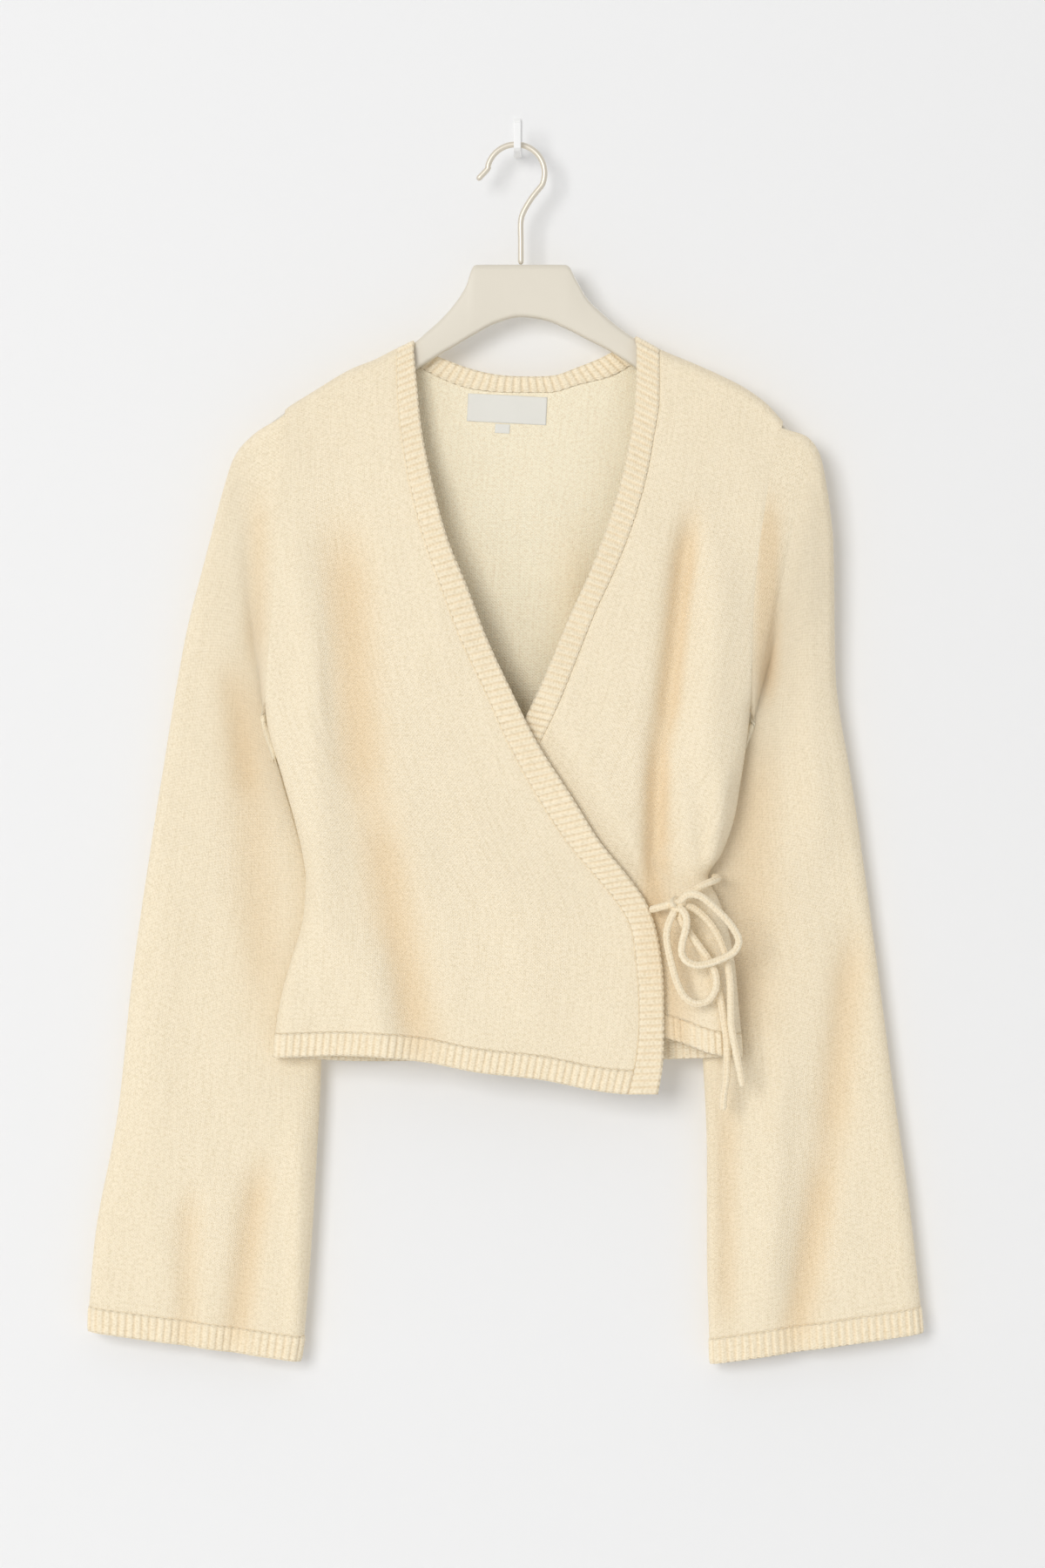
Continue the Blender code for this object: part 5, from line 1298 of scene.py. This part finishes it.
def smooth_material(name):
    colour, roughness, metallic = SMOOTHS[name]
    made = new_material(name, {"Roughness": roughness, "Metallic": metallic})
    graph = Graph(made)
    cloth_map = graph.uv_map("Cloth")
    grain = graph.noise(cloth_map, GRAIN_SCALE)
    deep = (*(c * CLOUD_SHADE for c in colour), 1.0)
    cloud = graph.mix(graph.noise(cloth_map, CLOUD_SCALE), deep, (*colour, 1.0))
    graph.finish(cloud, grain, *GRAIN_BUMP)
    return made


def label_material():
    """Woven satin label: fine picks across it."""
    made = new_material("label", LABEL_SHADER)
    graph = Graph(made)
    split = graph.node("ShaderNodeSeparateXYZ", Vector=graph.uv_map("Cloth"))
    picks = graph.math("SINE", graph.math("MULTIPLY", split.outputs[1], 2 * np.pi / LABEL_PICK))
    ends = graph.math("SINE", graph.math("MULTIPLY", split.outputs[0], 2 * np.pi / LABEL_END))
    weave = graph.math("MULTIPLY", picks, ends)
    share = graph.math("MULTIPLY_ADD", weave, 0.3, 0.5)
    graph.finish(graph.mix(share, LABEL_DEEP, LABEL_LIGHT), weave, *LABEL_BUMP)
    return made


def material(name):
    found = bpy.data.materials.get(LOOK + name)
    if found:
        return found
    if name in KNITS:
        return knit_material(name)
    if name in SMOOTHS:
        return smooth_material(name)
    return label_material() if name == "label" else new_material(name, FUZZ_SHADER)


# Photograph's setting
CAMERA_X = 0.0035
CAMERA_Z = -0.4412
CAMERA_AWAY = 2.8
SEEN_Y = -0.035           # plane at which the frame is VIEW_HEIGHT tall
VIEW_HEIGHT = 1.0588
WALL_SIZE = 4.0
FLOOR_Z = -1.35
WALL_Y = 0.0006
SENSOR = 36.0
WHITE = (1.0, 1.0, 1.0)
WALL_COLOUR = (0.86, 0.86, 0.86, 1.0)
WALL_SHADER = {"Roughness": 0.95, "Base Color": WALL_COLOUR, "Specular IOR Level": 0.05}
WORLD_STRENGTH = 0.56
LIT_POINT = (0.0, 0.0, -0.42)
# Name, place, energy in watts and size of each light
LIGHTS = (("Key", (-2.4, -5.8, 0.75), 180.0, 2.6), ("Rear fill", (0.9, 2.6, 0.5), 30.0, 1.6))


def make_camera():
    lens = bpy.data.cameras.new("Camera")
    lens.sensor_fit = "VERTICAL"
    lens.sensor_height = SENSOR
    lens.lens = SENSOR * CAMERA_AWAY / VIEW_HEIGHT
    camera = bpy.data.objects.new("Camera", lens)
    camera.location = (CAMERA_X, -CAMERA_AWAY + SEEN_Y, CAMERA_Z)
    camera.rotation_euler = (np.pi / 2, 0.0, 0.0)
    bpy.context.scene.collection.objects.link(camera)
    bpy.context.scene.camera = camera


def aim(piece, target):
    way = np.array(target, float) - np.array(piece.location)
    flat = float(np.hypot(way[0], way[1]))
    piece.rotation_euler = (float(np.arctan2(flat, -way[2])), 0.0, float(np.arctan2(-way[0], way[1])))


def make_light(name, location, energy, size):
    lamp = bpy.data.lights.new(name, "AREA")
    lamp.energy = energy
    lamp.size = size
    lamp.color = WHITE
    light = bpy.data.objects.new(name, lamp)
    light.location = location
    bpy.context.scene.collection.objects.link(light)
    aim(light, LIT_POINT)


def wall_material():
    """Painted wall that lets light and the view through from behind."""
    made = new_material("wall_paint", WALL_SHADER)
    graph = Graph(made)
    geometry = graph.node("ShaderNodeNewGeometry")
    ray = graph.node("ShaderNodeLightPath")
    either = graph.math("MAXIMUM", geometry.outputs["Backfacing"], ray.outputs["Is Shadow Ray"])
    clear = graph.node("ShaderNodeBsdfTransparent")
    mixed = graph.node("ShaderNodeMixShader")
    for socket, value in zip(mixed.inputs, (either, graph.shader.outputs[0], clear.outputs[0])):
        graph.feed(socket, value)
    graph.feed(graph.tree.nodes["Material Output"].inputs["Surface"], mixed.outputs[0])
    return made


def stage_plane(name, corners, finish):
    mesh = bpy.data.meshes.new(name)
    mesh.from_pydata(corners, [], [(0, 1, 2, 3)])
    plane = bpy.data.objects.new(name, mesh)
    bpy.context.scene.collection.objects.link(plane)
    mesh.materials.append(finish)


def make_stage():
    half = WALL_SIZE / 2
    paint = wall_material()
    low, high = FLOOR_Z, FLOOR_Z + WALL_SIZE
    planes = (("room_wall", WALL_Y, low, WALL_Y, high), ("room_floor", -WALL_SIZE, low, WALL_SIZE, low))
    for name, y1, z1, y2, z2 in planes:
        stage_plane(name, [(-half, y1, z1), (half, y1, z1), (half, y2, z2), (-half, y2, z2)], paint)
    for name, location, energy, size in LIGHTS:
        make_light(name, location, energy, size)
    world = bpy.data.worlds.new("World")
    bpy.context.scene.world = world
    world.use_nodes = True
    background = world.node_tree.nodes["Background"]
    background.inputs[0].default_value = (*WHITE, 1.0)
    background.inputs[1].default_value = WORLD_STRENGTH
    bpy.context.scene.view_settings.view_transform = "Standard"


def main():
    make_camera()
    make_ties()
    fine_front("front_outer", "outer", OUTER_BAND, OUTER_HEM, True)
    fine_front("front_under", "under", UNDER_BAND, UNDER_HEM, False)
    fine_back("back_panel")
    fine_band("band_outer", "outer", OUTER_BAND, RIBS["outer_band"])
    fine_band("band_under", "under", UNDER_BAND, RIBS["under_band"])
    outer_seam = band_edge(OUTER_BAND, "seam", -SEAM_GAP)
    under_seam = band_edge(UNDER_BAND, "seam", SEAM_GAP)
    outer_ends = hem_ends(OUTER_HEM, left_edge, outer_seam)
    under_ends = hem_ends(UNDER_HEM, under_seam, right_edge)
    back_ends = hem_ends(BACK_HEM, left_edge, right_edge)
    fine_hem("hem_outer", "outer", OUTER_HEM, outer_ends, RIBS["outer_front"])
    fine_hem("hem_under", "under", UNDER_HEM, under_ends, RIBS["under_front"])
    fine_hem("hem_back", "back", BACK_HEM, back_ends, RIBS["back"])
    fine_neck_band("back_neck_band")
    for side, word, rings, cuff, folds in ((-1, "left", LEFT_SLEEVE, LEFT_CUFF, LEFT_SLEEVE_FOLDS),
                                           (1, "right", RIGHT_SLEEVE, RIGHT_CUFF, RIGHT_SLEEVE_FOLDS)):
        fine_sleeve("sleeve_" + word, rings, side, folds)
        fine_cuff("cuff_" + word, rings, cuff, side, folds)
    fine_patch("neck_label", LABEL, LABEL_TILT)
    fine_patch("size_tab", SIZE_TAB, LABEL_TILT)
    fine_hanger("hanger_body")
    make_wire()
    make_wall_hook()
    for name, count, longest in NAPS:
        make_fuzz(name, count, longest)
    make_stage()


main()
